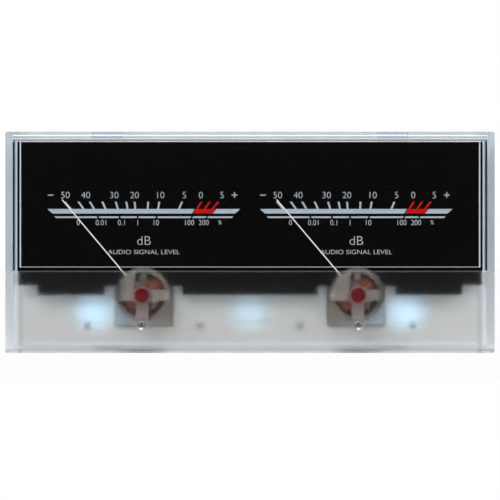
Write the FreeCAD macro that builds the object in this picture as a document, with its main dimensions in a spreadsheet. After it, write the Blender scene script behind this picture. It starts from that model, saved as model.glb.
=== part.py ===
# Twin analog level meter: a clear-fronted panel module with two moving-coil movements.
#
# X runs to the right, Y from the window back to the terminals and Z up. The module stands on
# its lower edge, with the origin at the middle of its footprint. Lengths are millimetres and
# angles are degrees. Names that end in _y are planes parallel to the face of the meter.
import FreeCAD, Part
import os
import re
import Sketcher

SIZES = [
    # case
    ("cover_width", 134.0, "clear cover across"),
    ("cover_height", 60.6, "clear cover, lower edge to upper edge"),
    ("cover_wall", 2.0, "wall of the cover"),
    ("skirt_depth", 14.0, "cover from its ledge to the end of its skirt"),
    ("corner_radius", 0.6, "upright corners of the case"),
    ("window_raise", 2.0, "raised window in front of the ledge"),
    ("window_side_margin", 2.4, "ledge beside the window"),
    ("window_top_margin", 1.1, "ledge above the window"),
    ("window_bottom_height", 22.5, "lower edge of the window above the lower edge of the case"),
    ("window_wall", 1.7, "side and upper walls of the raised window"),
    ("window_sill", 1.0, "lower wall of the raised window"),
    ("case_clearance", 0.2, "cover skirt to base rim"),
    ("base_wall", 1.8, "wall of the base"),
    ("base_floor", 2.0, "rear wall of the base"),
    ("flange_thickness", 2.0, "flange that the skirt seats on"),
    ("rim_overlap", 3.0, "base rim inside the skirt"),
    ("tub_depth", 10.0, "base behind its flange"),
    ("snap_offset", 40.0, "snap lugs from the middle"),
    ("snap_width", 8.0, "snap lug across"),
    ("snap_depth", 1.2, "snap lug, front to rear"),
    ("snap_height", 0.8, "snap lug above the rim"),
    ("snap_setback", 0.9, "snap lug from the flange"),
    ("snap_clearance", 0.2, "snap lug in its slot, all round"),
    # mounting inserts
    ("insert_spacing_x", 112.0, "mounting inserts across"),
    ("insert_spacing_z", 36.0, "mounting inserts up"),
    ("insert_center_height", 28.2, "middle of the insert pattern"),
    ("insert_radius", 2.3, "brass insert"),
    ("insert_hole_radius", 1.25, "M3 thread, minor radius"),
    ("insert_length", 6.0, "brass insert, front to rear"),
    ("insert_boss_wall", 1.7, "plastic round an insert"),
    ("insert_boss_cap", 0.5, "plastic in front of an insert"),
    # where the two movements sit, and the stack of planes behind the lower front
    ("channel_offset", 29.8, "pivot from the middle of the module"),
    ("pivot_height", 15.7, "pivot above the lower edge"),
    ("rest_angle", 40.2, "pointer at rest, left of upright"),
    ("lever_gap", 1.25, "lower front to zero lever"),
    ("lever_thickness", 0.4, "zero lever"),
    ("bridge_gap", 0.15, "zero lever to front bridge"),
    ("bridge_thickness", 0.8, "front and rear bridge"),
    ("spring_gap", 0.2, "front bridge to hairspring"),
    ("spring_height", 0.3, "hairspring strip along the pivot"),
    ("pointer_gap", 0.15, "hairspring to pointer"),
    ("pointer_thickness", 0.15, "pointer sheet"),
    ("frame_gap", 0.6, "pointer to movement frame"),
    ("plate_setback", 1.0, "dial plate behind the front of the frame"),
    # dial plate and light panel
    ("plate_thickness", 1.0, "dial plate"),
    ("plate_side_gap", 0.2, "dial plate to cover, each side"),
    ("plate_top_gap", 0.2, "dial plate to cover, top"),
    ("plate_bottom_height", 15.65, "lower edge of the dial plate"),
    ("plate_corner_height", 18.4, "lower edge of the dial plate at its outer corners"),
    ("plate_corner_width", 5.5, "cut-away outer corner of the dial plate"),
    ("notch_half_width", 10.9, "notch round a movement"),
    ("notch_rise", 2.4, "notch above the pivot"),
    ("frame_clearance", 0.4, "dial plate to movement frame"),
    ("peg_radius", 1.0, "peg on the dial plate"),
    ("peg_length", 5.0, "peg on the dial plate"),
    ("peg_clearance", 0.05, "peg in its post"),
    ("peg_side_inset", 6.8, "outer dial posts from the side edge of the dial plate"),
    ("peg_top_inset", 4.4, "upper row of dial posts from the upper edge of the dial plate"),
    ("peg_low_height", 24.0, "lower row of dial posts"),
    ("dial_post_radius", 2.2, "dial post"),
    ("post_clearance", 0.3, "post in a hole of a panel or board"),
    ("panel_thickness", 1.0, "light panel"),
    ("panel_opening_gap", 0.5, "light panel to yoke"),
    ("panel_screw_outer", 45.8, "outer panel screws from the middle"),
    ("panel_screw_inner", 13.9, "inner panel screws from the middle"),
    ("panel_screw_height", 6.85, "panel screws above the lower edge"),
    ("panel_post_radius", 1.4, "panel post"),
    ("panel_screw_radius", 0.6, "panel screw shank"),
    ("panel_screw_head_radius", 1.0, "panel screw head"),
    ("panel_screw_head", 0.7, "panel screw head height"),
    ("panel_screw_length", 5.0, "panel screw shank in its post"),
    ("thread_clearance", 0.03, "screw shank in its hole"),
    # lamps
    ("lamp_offset", 45.4, "outer lamps from the middle"),
    ("lamp_height", 10.8, "lamps above the lower edge"),
    ("cap_width", 9.0, "lamp cap across"),
    ("cap_height", 4.8, "lamp cap up"),
    ("cap_stand", 0.6, "lamp cap in front of the light panel"),
    ("cap_flange", 1.0, "lamp cap flange beyond the window, each side"),
    ("cap_flange_thickness", 0.8, "lamp cap flange"),
    ("cap_clearance", 0.1, "lamp cap in its window"),
    ("cap_roof", 0.8, "lamp cap in front of the bulb"),
    ("bulb_radius", 1.5, "bulb"),
    ("bulb_round", 1.35, "rounding of a bulb's dome"),
    ("bulb_clearance", 0.2, "bulb in its cap"),
    ("bulb_length", 4.0, "bulb, dome included"),
    ("bulb_neck", 2.0, "bulb inside its socket"),
    ("bulb_neck_clearance", 0.05, "bulb in its socket"),
    ("socket_radius", 2.2, "lamp socket"),
    ("board_thickness", 1.6, "lamp board"),
    ("board_gap", 1.2, "lamp board to base floor"),
    ("board_half_width", 49.5, "lamp board from the middle"),
    ("board_low_height", 4.0, "lower edge of the lamp board"),
    ("board_high_height", 20.0, "upper edge of the lamp board"),
    ("board_post_radius", 2.0, "board post"),
    ("board_screw_height", 7.0, "board screws above the lower edge"),
    ("board_screw_inner", 8.5, "inner board screws from the middle"),
    ("board_screw_outer", 30.0, "outer board screws from the middle"),
    ("board_screw_radius", 0.8, "board screw shank"),
    ("board_screw_head_radius", 1.4, "board screw head"),
    ("board_screw_head", 0.7, "board screw head height"),
    ("board_screw_length", 2.4, "board screw shank"),
    # terminals
    ("tag_width", 2.8, "solder tag across"),
    ("tag_thickness", 0.8, "solder tag"),
    ("tag_length", 6.0, "solder tag behind the base"),
    ("tag_inner_length", 2.0, "solder tag inside the base"),
    ("tag_eye_radius", 0.7, "eye of a solder tag"),
    ("tag_eye_margin", 1.8, "eye to the end of the tag"),
    ("tag_clearance", 0.02, "solder tag in the base"),
    ("tag_offset", 6.0, "movement tags from the pivot"),
    ("tag_height", 30.0, "movement tags above the lower edge"),
    ("lamp_tag_offset", 4.6, "lamp tags from the middle"),
    ("lamp_tag_height", 17.0, "lamp tags above the lower edge"),
    # movement: frame, yoke, core
    ("frame_radius", 7.5, "round movement frame"),
    ("frame_ring_width", 1.3, "ring of the frame"),
    ("frame_depth", 2.7, "frame, front to rear"),
    ("lug_reach", 4.2, "core lug from the pivot"),
    ("lug_width", 1.8, "core lug across"),
    ("lug_setback", 0.4, "core lug behind the front of the frame"),
    ("web_gap", 0.3, "core web to yoke bore"),
    ("glue_gap", 0.02, "glued or pressed face"),
    ("yoke_width", 15.4, "yoke across"),
    ("yoke_height", 17.0, "yoke up"),
    ("yoke_depth", 6.8, "yoke, front to rear"),
    ("yoke_bore_radius", 6.3, "bore of the yoke"),
    ("core_radius", 4.7, "core magnet"),
    ("rivet_inset", 1.4, "yoke rivet from the yoke's edges"),
    ("rivet_radius", 0.6, "yoke rivet shank"),
    ("rivet_head_radius", 1.0, "yoke rivet head"),
    ("rivet_head", 0.4, "yoke rivet head height"),
    ("mount_thickness", 1.0, "mounting plate"),
    ("mount_screw_offset", 10.4, "movement screws from the pivot"),
    ("mount_ear_height", 5.0, "ear of the mounting plate"),
    ("mount_post_radius", 2.2, "movement post"),
    ("mount_screw_radius", 0.9, "movement screw shank"),
    ("mount_screw_head_radius", 1.5, "movement screw head"),
    ("mount_screw_head", 0.7, "movement screw head height"),
    ("mount_screw_length", 5.5, "movement screw shank"),
    # bridges and jewel screws
    ("bridge_width", 3.0, "bridge bar"),
    ("bridge_end", 0.1, "bridge bar beyond its posts"),
    ("web_radius", 7.0, "web of the front bridge, outer edge from the pivot"),
    ("web_upper_reach", 1.4, "web of the front bridge, left of upright at its outer edge"),
    ("web_lower_reach", 2.7, "web of the front bridge, left of upright at the bar"),
    ("post_reach", 6.85, "bridge posts and stop pins from the pivot"),
    ("bridge_post_radius", 0.6, "bridge post"),
    ("rear_post_height", 1.5, "rear bridge posts"),
    ("bridge_screw_radius", 0.35, "bridge screw shank"),
    ("bridge_screw_head_radius", 0.6, "bridge screw head"),
    ("bridge_screw_head", 0.45, "bridge screw head height"),
    ("bridge_screw_bite", 0.8, "bridge screw in the part below the post"),
    ("jewel_shank_radius", 1.2, "jewel screw shank"),
    ("jewel_head_radius", 2.2, "jewel screw head"),
    ("jewel_head", 0.5, "jewel screw head height"),
    ("jewel_head_gap", 0.05, "jewel screw head to zero lever"),
    ("jewel_stand", 0.1, "jewel screw beyond its bridge"),
    ("jewel_depth", 0.5, "staff inside its jewel"),
    ("jewel_end_play", 0.08, "staff tip to the bottom of its jewel"),
    ("jewel_clearance", 0.05, "staff in its jewel"),
    ("driver_slot_width", 0.5, "slot in a jewel screw"),
    ("driver_slot_depth", 0.25, "slot in a jewel screw"),
    ("stop_angle", 50.5, "stop pins from upright"),
    ("stop_pin_radius", 0.25, "stop pin"),
    ("stop_pin_height", 1.15, "stop pin above the frame"),
    ("stop_pin_seat", 0.9, "stop pin in the frame"),
    # moving coil
    ("former_gap", 0.3, "core to coil former, sides"),
    ("former_end_gap", 0.35, "core to coil former, front and rear"),
    ("former_thickness", 0.2, "coil former"),
    ("former_width", 3.5, "coil former across"),
    ("winding_thickness", 0.45, "copper winding"),
    ("winding_width", 3.3, "copper winding across"),
    ("staff_radius", 0.4, "pivot staff"),
    ("staff_foot_radius", 0.9, "foot of a pivot staff"),
    ("staff_foot", 0.2, "foot of a pivot staff, height"),
    ("collet_wall", 0.28, "collet of a hairspring"),
    ("collet_clearance", 0.02, "staff in a collet or hub"),
    ("spring_strip", 0.08, "hairspring strip"),
    ("spring_turns", 4, "turns of a hairspring"),
    ("rear_spring_gap", 0.06, "rear hairspring behind the staff foot"),
    # pointer
    ("pointer_length", 34.7, "pivot to pointer tip"),
    ("pointer_width", 0.3, "pointer across"),
    ("hub_radius", 1.1, "pointer hub"),
    ("hub_length", 0.5, "pointer hub along the pivot"),
    ("hub_stand", 0.05, "pointer hub in front of the pointer"),
    ("arm_length", 4.9, "balance arms from the pivot"),
    ("arm_width", 0.4, "balance arm"),
    ("weight_clearance", 0.02, "balance arm in its weight"),
    ("tail_weight_radius", 0.72, "tail balance weight"),
    ("tail_weight_length", 1.5, "tail balance weight"),
    ("side_weight_radius", 0.45, "side balance weights"),
    ("side_weight_length", 0.9, "side balance weights"),
    # zero adjuster
    ("lever_ring_radius", 2.6, "ring of the zero lever"),
    ("lever_clearance", 0.05, "zero lever on its jewel screw"),
    ("lever_arm_width", 3.4, "arm of the zero lever"),
    ("fork_reach", 8.5, "fork end from the pivot"),
    ("fork_depth", 1.9, "fork slot"),
    ("fork_clearance", 0.1, "eccentric pin in the fork"),
    ("tab_reach", 3.0, "spring tab from the pivot"),
    ("tab_thickness", 0.4, "spring tab"),
    ("tab_width", 1.0, "spring tab"),
    ("zero_drop", 8.15, "zero screw below the pivot"),
    ("pin_eccentricity", 0.6, "eccentric pin from the zero screw's axis"),
    ("pin_radius", 0.4, "eccentric pin"),
    ("pin_overrun", 0.2, "eccentric pin behind the zero lever"),
    ("zero_shaft_radius", 0.8, "zero screw shaft"),
    ("zero_clearance", 0.05, "zero screw in the cover"),
    ("zero_head_radius", 1.2, "zero screw head"),
    ("zero_head", 0.6, "zero screw head height"),
    ("zero_sink", 0.05, "zero screw head behind the ledge"),
    ("zero_head_clearance", 0.1, "zero screw head in its recess"),
    ("zero_head_round", 0.3, "rounding of the zero screw head"),
    ("zero_play", 0.05, "zero screw end play, each side"),
    ("zero_collar_radius", 1.3, "collar behind the cover"),
    ("zero_collar", 0.4, "collar behind the cover"),
    ("zero_slot_width", 0.4, "slot in the zero screw"),
    ("zero_slot_depth", 0.3, "slot in the zero screw"),
]

PLANES = {
    # front to rear
    "window_y": "-(window_raise + skirt_depth + flange_thickness + tub_depth + tag_length) / 2",
    "ledge_y": "window_y + window_raise",
    "wall_y": "ledge_y + cover_wall",
    "zero_head_y": "ledge_y + zero_sink",
    "zero_shaft_y": "zero_head_y + zero_head",
    "zero_collar_y": "wall_y + zero_play",
    "lever_y": "wall_y + lever_gap",
    "bridge_y": "lever_y + lever_thickness + bridge_gap",
    "bridge_back_y": "bridge_y + bridge_thickness",
    "spring_y": "bridge_back_y + spring_gap",
    "pointer_y": "spring_y + spring_height + pointer_gap",
    "pointer_middle_y": "pointer_y + pointer_thickness / 2",
    "frame_y": "pointer_y + pointer_thickness + frame_gap",
    "lug_y": "frame_y + lug_setback",
    "yoke_y": "frame_y + frame_depth",
    "mount_y": "yoke_y + yoke_depth",
    "mount_back_y": "mount_y + mount_thickness",
    "rear_bridge_y": "mount_back_y + rear_post_height",
    "rear_bridge_back_y": "rear_bridge_y + bridge_thickness",
    "plate_y": "frame_y + plate_setback",
    "plate_back_y": "plate_y + plate_thickness",
    "skirt_end_y": "ledge_y + skirt_depth",
    "rim_y": "skirt_end_y - rim_overlap",
    "panel_y": "rim_y - panel_thickness",
    "flange_back_y": "skirt_end_y + flange_thickness",
    "rear_y": "flange_back_y + tub_depth",
    "floor_y": "rear_y - base_floor",
    "boss_y": "rear_y - insert_length - insert_boss_cap",
    "board_back_y": "floor_y - board_gap",
    "board_y": "board_back_y - board_thickness",
    # moving coil
    "former_y": "yoke_y - former_end_gap - former_thickness",
    "former_back_y": "mount_y + former_end_gap + former_thickness",
    "winding_y": "former_y - winding_thickness",
    "winding_back_y": "former_back_y + winding_thickness",
    "former_radius": "core_radius + former_gap + former_thickness",
    "winding_radius": "former_radius + winding_thickness",
    "rear_spring_y": "winding_back_y + staff_foot + rear_spring_gap",
    "collet_radius": "staff_radius + collet_clearance + collet_wall",
    # case outlines
    "rim_half_width": "cover_width / 2 - cover_wall - case_clearance",
    "rim_half_height": "cover_height / 2 - cover_wall - case_clearance",
    "plate_half_width": "cover_width / 2 - cover_wall - plate_side_gap",
    "plate_top": "cover_height - cover_wall - plate_top_gap",
    "window_half_width": "cover_width / 2 - window_side_margin",
    "window_top": "cover_height - window_top_margin",
}

SIDES = (("left", "-1"), ("right", "1"))

# places closer than this are the same place
TOUCH = 1e-6

doc = FreeCAD.newDocument("level_meter")
sheet = doc.addObject("Spreadsheet::Sheet", "Sizes")
ALIASES = {alias for alias, _, _ in SIZES}
PIECES = []


def fill_sheet():
    """Write the driving dimensions into the spreadsheet."""
    for row, (alias, value, meaning) in enumerate(SIZES, start=1):
        sheet.set(f"A{row}", meaning)
        sheet.set(f"B{row}", str(value))
        sheet.setAlias(f"B{row}", alias)
    doc.recompute()


def bound(formula):
    """Turn a formula of size and plane names into one that reads the spreadsheet."""

    def cell(match):
        name = match.group(0)
        if name in PLANES:
            return "(" + bound(PLANES[name]) + ")"
        if name in ALIASES:
            return "Sizes." + name
        return name

    return re.sub(r"[a-z][a-z_]+", cell, str(formula))


def number(formula):
    """The value of a formula, in millimetres or degrees."""
    return float(sheet.evalExpression(bound(formula)))


def circle(x, z, radius):
    return ("circle", x, z, radius)


def polygon(*points):
    return ("polygon", points)


def box(x, z, width, height):
    """A rectangle about its middle."""
    left = f"({x}) - ({width}) / 2"
    right = f"({x}) + ({width}) / 2"
    low = f"({z}) - ({height}) / 2"
    high = f"({z}) + ({height}) / 2"
    return polygon((left, low), (right, low), (right, high), (left, high))


class Piece:
    """One sub-part: a body padded and pocketed from outlines parallel to the meter's face.

    Outlines hold X and Z, and a pad or pocket runs from its front plane towards the rear.
    """

    normal = "XZ_Plane"

    def __init__(self, label):
        self.body = doc.addObject("PartDesign::Body", label)
        self.body.Label = label
        self.body.AllowCompound = True
        self.count = 0
        PIECES.append(self.body)

    def place(self, side, turn=None):
        """Put the body's own origin on the pivot of one channel, and turn it about the pivot."""
        self.body.setExpression("Placement.Base.x", bound(f"{side} * channel_offset"))
        self.body.setExpression("Placement.Base.z", bound("pivot_height"))
        if turn:
            towards_viewer = FreeCAD.Vector(0, -1, 0)
            self.body.Placement.Rotation = FreeCAD.Rotation(towards_viewer, number(turn))
            self.body.setExpression("Placement.Rotation.Angle", bound(turn))
        return self

    def sketch(self, offset, loops, plane):
        """A fully dimensioned sketch on one of the body's own origin planes."""
        self.count += 1
        sketch = self.body.newObject("Sketcher::SketchObject", f"{self.body.Label}_outline{self.count}")
        origin = [item for item in self.body.Origin.OriginFeatures if item.Role == plane][0]
        sketch.AttachmentSupport = (origin, "")
        sketch.MapMode = "FlatFace"
        sketch.setExpression("AttachmentOffset.Base.z", bound(offset))
        for kind, *values in loops:
            if kind == "circle":
                self.add_circle(sketch, *values)
            else:
                self.add_polygon(sketch, values[0])
        return sketch

    @staticmethod
    def dimension(sketch, kind, geometry, point, formula):
        """Tie one coordinate of a point, or one radius, to the spreadsheet."""
        value = number(formula)
        if kind == "Radius":
            index = sketch.addConstraint(Sketcher.Constraint(kind, geometry, value))
        else:
            index = sketch.addConstraint(Sketcher.Constraint(kind, -1, 1, geometry, point, value))
        sketch.setExpression(f"Constraints[{index}]", bound(formula))

    def add_circle(self, sketch, x, z, radius):
        center = FreeCAD.Vector(number(x), number(z), 0)
        line = Part.Circle(center, FreeCAD.Vector(0, 0, 1), number(radius))
        index = sketch.addGeometry(line)
        self.dimension(sketch, "DistanceX", index, 3, x)
        self.dimension(sketch, "DistanceY", index, 3, z)
        self.dimension(sketch, "Radius", index, 0, radius)

    def add_polygon(self, sketch, points):
        corners = [FreeCAD.Vector(number(x), number(z), 0) for x, z in points]
        first = sketch.GeometryCount
        for start, end in zip(corners, corners[1:] + corners[:1]):
            sketch.addGeometry(Part.LineSegment(start, end))
        for step, (x, z) in enumerate(points):
            following = first + (step + 1) % len(points)
            sketch.addConstraint(Sketcher.Constraint("Coincident", first + step, 2, following, 1))
            self.dimension(sketch, "DistanceX", first + step, 1, x)
            self.dimension(sketch, "DistanceY", first + step, 1, z)

    def volume(self):
        return self.body.Tip.Shape.Volume if self.body.Tip else 0

    def feature(self, kind, profile, length, reverse):
        """A pad or pocket, which has to change the volume of the body."""
        before = self.volume()
        feature = self.body.newObject(f"PartDesign::{kind}", f"{self.body.Label}_{kind}{self.count}")
        feature.Profile = profile
        feature.Reversed = reverse
        feature.setExpression("Length", bound(length))
        doc.recompute()
        change = self.volume() - before
        if (change <= 0) if kind == "Pad" else (change >= 0):
            raise ValueError(f"{feature.Label} does not change {self.body.Label}")
        return self

    def pad(self, front, depth, *loops):
        outline = self.sketch(f"-({front})", loops, "XZ_Plane")
        return self.feature("Pad", outline, depth, True)

    def pocket(self, front, depth, *loops):
        outline = self.sketch(f"-({front})", loops, "XZ_Plane")
        return self.feature("Pocket", outline, depth, False)

    def pad_up(self, height, length, *loops):
        """A pad that rises from a level plane; its outlines hold X and Y."""
        outline = self.sketch(height, loops, "XY_Plane")
        return self.feature("Pad", outline, length, False)

    def pad_right(self, offset, length, *loops):
        """A pad that runs to the right from an upright plane; its outlines hold Y and Z."""
        outline = self.sketch(offset, loops, "YZ_Plane")
        return self.feature("Pad", outline, length, False)

    def fillet(self, radius, wanted):
        """Round the edges of the body that a test picks."""
        shape = self.body.Shape
        names = [f"Edge{i}" for i, edge in enumerate(shape.Edges, start=1) if wanted(edge)]
        base = self.body.Tip
        fillet = self.body.newObject("PartDesign::Fillet", f"{self.body.Label}_fillet")
        fillet.Base = (base, names)
        fillet.setExpression("Radius", bound(radius))
        doc.recompute()
        return self


def mirrored(*offsets):
    """Each offset on both sides of the middle."""
    return [f"{sign}{offset}" for offset in offsets for sign in ("-", "")]


def dial_post_places():
    rows = ("peg_low_height", "plate_top - peg_top_inset")
    columns = mirrored("(plate_half_width - peg_side_inset)") + ["0"]
    return [(x, z) for z in rows for x in columns]


def panel_post_places():
    return [(x, "panel_screw_height") for x in mirrored("panel_screw_outer", "panel_screw_inner")]


def board_post_places():
    return [(x, "board_screw_height") for x in mirrored("board_screw_outer", "board_screw_inner")]


def mount_post_places():
    return [
        (f"{side} * channel_offset {sign} mount_screw_offset", "pivot_height")
        for _, side in SIDES
        for sign in ("-", "+")
    ]


def insert_places():
    rows = [f"insert_center_height {sign} insert_spacing_z / 2" for sign in ("-", "+")]
    return [(x, z) for z in rows for x in mirrored("insert_spacing_x / 2")]


def lamp_places():
    return [(x, "lamp_height") for x in mirrored("lamp_offset") + ["0"]]


def movement_tag_places():
    return [
        (f"{side} * channel_offset {sign} tag_offset", "tag_height")
        for _, side in SIDES
        for sign in ("-", "+")
    ]


def lamp_tag_places():
    return [(x, "lamp_tag_height") for x in mirrored("lamp_tag_offset")]


def circles(places, radius):
    return [circle(x, z, radius) for x, z in places]


def case_outline():
    return box("0", "cover_height / 2", "cover_width", "cover_height")


def rim_outline(inset="0"):
    width = f"2 * (rim_half_width - {inset})"
    return box("0", "cover_height / 2", width, f"2 * (rim_half_height - {inset})")


def upright_corner(edge):
    """True for an edge along Y at an outer corner of the case."""
    start, end = edge.Vertexes[0].Point, edge.Vertexes[-1].Point
    along_y = abs(start.x - end.x) < TOUCH and abs(start.z - end.z) < TOUCH
    outer = abs(abs(start.x) - number("cover_width / 2")) < TOUCH
    return along_y and outer


def front_cover():
    """Clear cover: a shallow tray with a raised window, open at the rear."""
    cover = Piece("front_cover")
    cover.pad("ledge_y", "skirt_depth", case_outline())
    cover.fillet("corner_radius", upright_corner)
    window = [
        ("-window_half_width", "window_bottom_height"),
        ("window_half_width", "window_bottom_height"),
        ("window_half_width", "window_top"),
        ("-window_half_width", "window_top"),
    ]
    cover.pad("window_y", "window_raise", polygon(*window))
    inner = box("0", "cover_height / 2", "cover_width - 2 * cover_wall", "cover_height - 2 * cover_wall")
    cover.pocket("wall_y", "skirt_depth - cover_wall", inner)
    hollow = [
        ("-(window_half_width - window_wall)", "window_bottom_height + window_sill"),
        ("window_half_width - window_wall", "window_bottom_height + window_sill"),
        ("window_half_width - window_wall", "window_top - window_wall"),
        ("-(window_half_width - window_wall)", "window_top - window_wall"),
    ]
    cover.pocket("window_y + cover_wall", "window_raise", polygon(*hollow))
    places = [(x, "pivot_height - zero_drop") for x in mirrored("channel_offset")]
    recess = circles(places, "zero_head_radius + zero_head_clearance")
    cover.pocket("ledge_y", "zero_shaft_y + zero_play - ledge_y", *recess)
    cover.pocket("ledge_y", "cover_wall", *circles(places, "zero_shaft_radius + zero_clearance"))
    slots = [
        box(x, z, "snap_width + 2 * snap_clearance", "2 * cover_wall")
        for x in mirrored("snap_offset")
        for z in ("0", "cover_height")
    ]
    slot_y = "skirt_end_y - snap_setback - snap_depth - snap_clearance"
    cover.pocket(slot_y, "snap_depth + 2 * snap_clearance", *slots)


def rear_base():
    """White base: a tub with a flange, and every post that carries something."""
    base = Piece("rear_base")
    base.pad("skirt_end_y", "flange_thickness", case_outline())
    base.fillet("corner_radius", upright_corner)
    base.pad("rim_y", "rim_overlap", rim_outline())
    base.pad("flange_back_y", "tub_depth", rim_outline())
    lugs = [
        box(x, z, "snap_width", "2 * (snap_height + base_wall / 2)")
        for x in mirrored("snap_offset")
        for z in ("cover_height / 2 - rim_half_height + base_wall / 2",
                  "cover_height / 2 + rim_half_height - base_wall / 2")
    ]
    base.pad("skirt_end_y - snap_setback - snap_depth", "snap_depth", *lugs)
    base.pocket("rim_y", "floor_y - rim_y", rim_outline("base_wall"))
    posts = [
        ("plate_back_y", dial_post_places(), "dial_post_radius"),
        ("rim_y", panel_post_places(), "panel_post_radius"),
        ("mount_back_y", mount_post_places(), "mount_post_radius"),
        ("board_back_y", board_post_places(), "board_post_radius"),
        ("boss_y", insert_places(), "insert_radius + insert_boss_wall"),
    ]
    for top, places, radius in posts:
        base.pad(top, f"floor_y - {top}", *circles(places, radius))
    peg = "peg_radius + peg_clearance"
    base.pocket("plate_back_y", "peg_length + peg_radius", *circles(dial_post_places(), peg))
    screws = [
        ("rim_y", panel_post_places(), "panel_screw"),
        ("mount_back_y", mount_post_places(), "mount_screw"),
        ("board_back_y", board_post_places(), "board_screw"),
    ]
    for top, places, screw in screws:
        hole = f"{screw}_radius + thread_clearance"
        base.pocket(top, f"{screw}_length", *circles(places, hole))
    seat = circles(insert_places(), "insert_radius + glue_gap")
    base.pocket("rear_y - insert_length", "insert_length", *seat)
    width = "tag_width + 2 * tag_clearance"
    height = "tag_thickness + 2 * tag_clearance"
    tags = [box(x, z, width, height) for x, z in movement_tag_places() + lamp_tag_places()]
    base.pocket("floor_y", "base_floor", *tags)


def mounting_inserts():
    """Four brass M3 inserts, flush with the rear of the base."""
    inserts = Piece("mounting_inserts")
    inserts.pad(
        "rear_y - insert_length",
        "insert_length",
        *circles(insert_places(), "insert_radius"),
        *circles(insert_places(), "insert_hole_radius"),
    )


def dial_plate():
    """Black plate behind both scales, notched round the movements, with pegs at its rear."""
    plate = Piece("dial_plate")
    corner = "plate_half_width - plate_corner_width"
    notch = "pivot_height + notch_rise"
    outer = "(channel_offset + notch_half_width)"
    inner = "(channel_offset - notch_half_width)"
    right = [
        (inner, "plate_bottom_height"),
        (inner, notch),
        (outer, notch),
        (outer, "plate_bottom_height"),
        (corner, "plate_bottom_height"),
        (corner, "plate_corner_height"),
        ("plate_half_width", "plate_corner_height"),
        ("plate_half_width", "plate_top"),
    ]
    left = [(f"-({x})", z) for x, z in reversed(right)]
    plate.pad("plate_y", "plate_thickness", polygon(*right, *left))
    centers = [(x, "pivot_height") for x in mirrored("channel_offset")]
    plate.pocket("plate_y", "plate_thickness", *circles(centers, "frame_radius + frame_clearance"))
    plate.pad("plate_back_y", "peg_length", *circles(dial_post_places(), "peg_radius"))


def light_panel():
    """White panel that spreads the lamps' light behind the satin front."""
    panel = Piece("light_panel")
    panel.pad("panel_y", "panel_thickness", rim_outline())
    wide = "yoke_width + 2 * panel_opening_gap"
    high = "yoke_height + 2 * panel_opening_gap"
    openings = [box(x, "pivot_height", wide, high) for x in mirrored("channel_offset")]
    panel.pocket("panel_y", "panel_thickness", *openings)
    width = "cap_width + 2 * cap_clearance"
    height = "cap_height + 2 * cap_clearance"
    windows = [box(x, z, width, height) for x, z in lamp_places()]
    posts = circles(dial_post_places(), "dial_post_radius + post_clearance")
    panel.pocket("panel_y", "panel_thickness", *windows, *posts)
    holes = circles(panel_post_places(), "panel_screw_radius + thread_clearance")
    panel.pocket("panel_y", "panel_thickness", *holes)


def screw_group(label, seat, places, name):
    """Pan-head screws whose heads lie in front of a seat."""
    screws = Piece(label)
    screws.pad(f"{seat} - {name}_head", f"{name}_head", *circles(places, f"{name}_head_radius"))
    return screws.pad(seat, f"{name}_length", *circles(places, f"{name}_radius"))


def lamp_board():
    """Board behind the movements that carries the lamp sockets."""
    board = Piece("lamp_board")
    low, high = "board_low_height", "board_high_height"
    outline = box("0", f"({low} + {high}) / 2", "2 * board_half_width", f"{high} - {low}")
    board.pad("board_y", "board_thickness", outline)
    holes = circles(panel_post_places(), "panel_post_radius + post_clearance")
    holes += circles(mount_post_places(), "mount_post_radius + post_clearance")
    holes += circles(board_post_places(), "board_screw_radius + thread_clearance")
    board.pocket("board_y", "board_thickness", *holes)
    tags = [
        box(x, z, "tag_width + 2 * tag_clearance", "tag_thickness + 2 * tag_clearance")
        for x, z in lamp_tag_places()
    ]
    board.pocket("board_y", "board_thickness", *tags)


def lamps():
    """Sockets that stand on the board, bulbs, and pale caps that pass through the panel."""
    bulb_y = "rim_y + cap_roof - cap_stand + bulb_clearance"
    neck_y = f"{bulb_y} + bulb_length - bulb_neck"
    sockets = Piece("lamp_sockets")
    sockets.pad(neck_y, f"board_y - ({neck_y})", *circles(lamp_places(), "socket_radius"))
    seat = circles(lamp_places(), "bulb_radius + bulb_neck_clearance")
    sockets.pocket(neck_y, "bulb_neck", *seat)
    bulbs = Piece("lamp_bulbs")
    bulbs.pad(bulb_y, "bulb_length", *circles(lamp_places(), "bulb_radius"))
    front = number(bulb_y)
    bulbs.fillet("bulb_round", lambda edge: abs(edge.CenterOfMass.y - front) < TOUCH)
    caps = Piece("lamp_caps")
    bodies = [box(x, z, "cap_width", "cap_height") for x, z in lamp_places()]
    caps.pad("panel_y - cap_stand", "cap_stand + panel_thickness", *bodies)
    ears = [box(x, z, "cap_width + 2 * cap_flange", "cap_height") for x, z in lamp_places()]
    caps.pad("rim_y", "cap_flange_thickness", *ears)
    hollow = circles(lamp_places(), "bulb_radius + bulb_clearance")
    caps.pocket(f"{bulb_y} - bulb_clearance", "cap_flange_thickness + cap_stand", *hollow)


def solder_tags(piece, places, front):
    """Flat tags through the base floor, each with an eye behind it."""
    bars = [box(x, z, "tag_width", "tag_thickness") for x, z in places]
    piece.pad(front, f"rear_y + tag_length - ({front})", *bars)
    eye_y = "rear_y + tag_length - tag_eye_margin"
    for x, z in places:
        eye = piece.sketch(f"{z} - tag_thickness", [circle(x, eye_y, "tag_eye_radius")], "XY_Plane")
        piece.feature("Pocket", eye, "2 * tag_thickness", True)
    return piece


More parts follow.
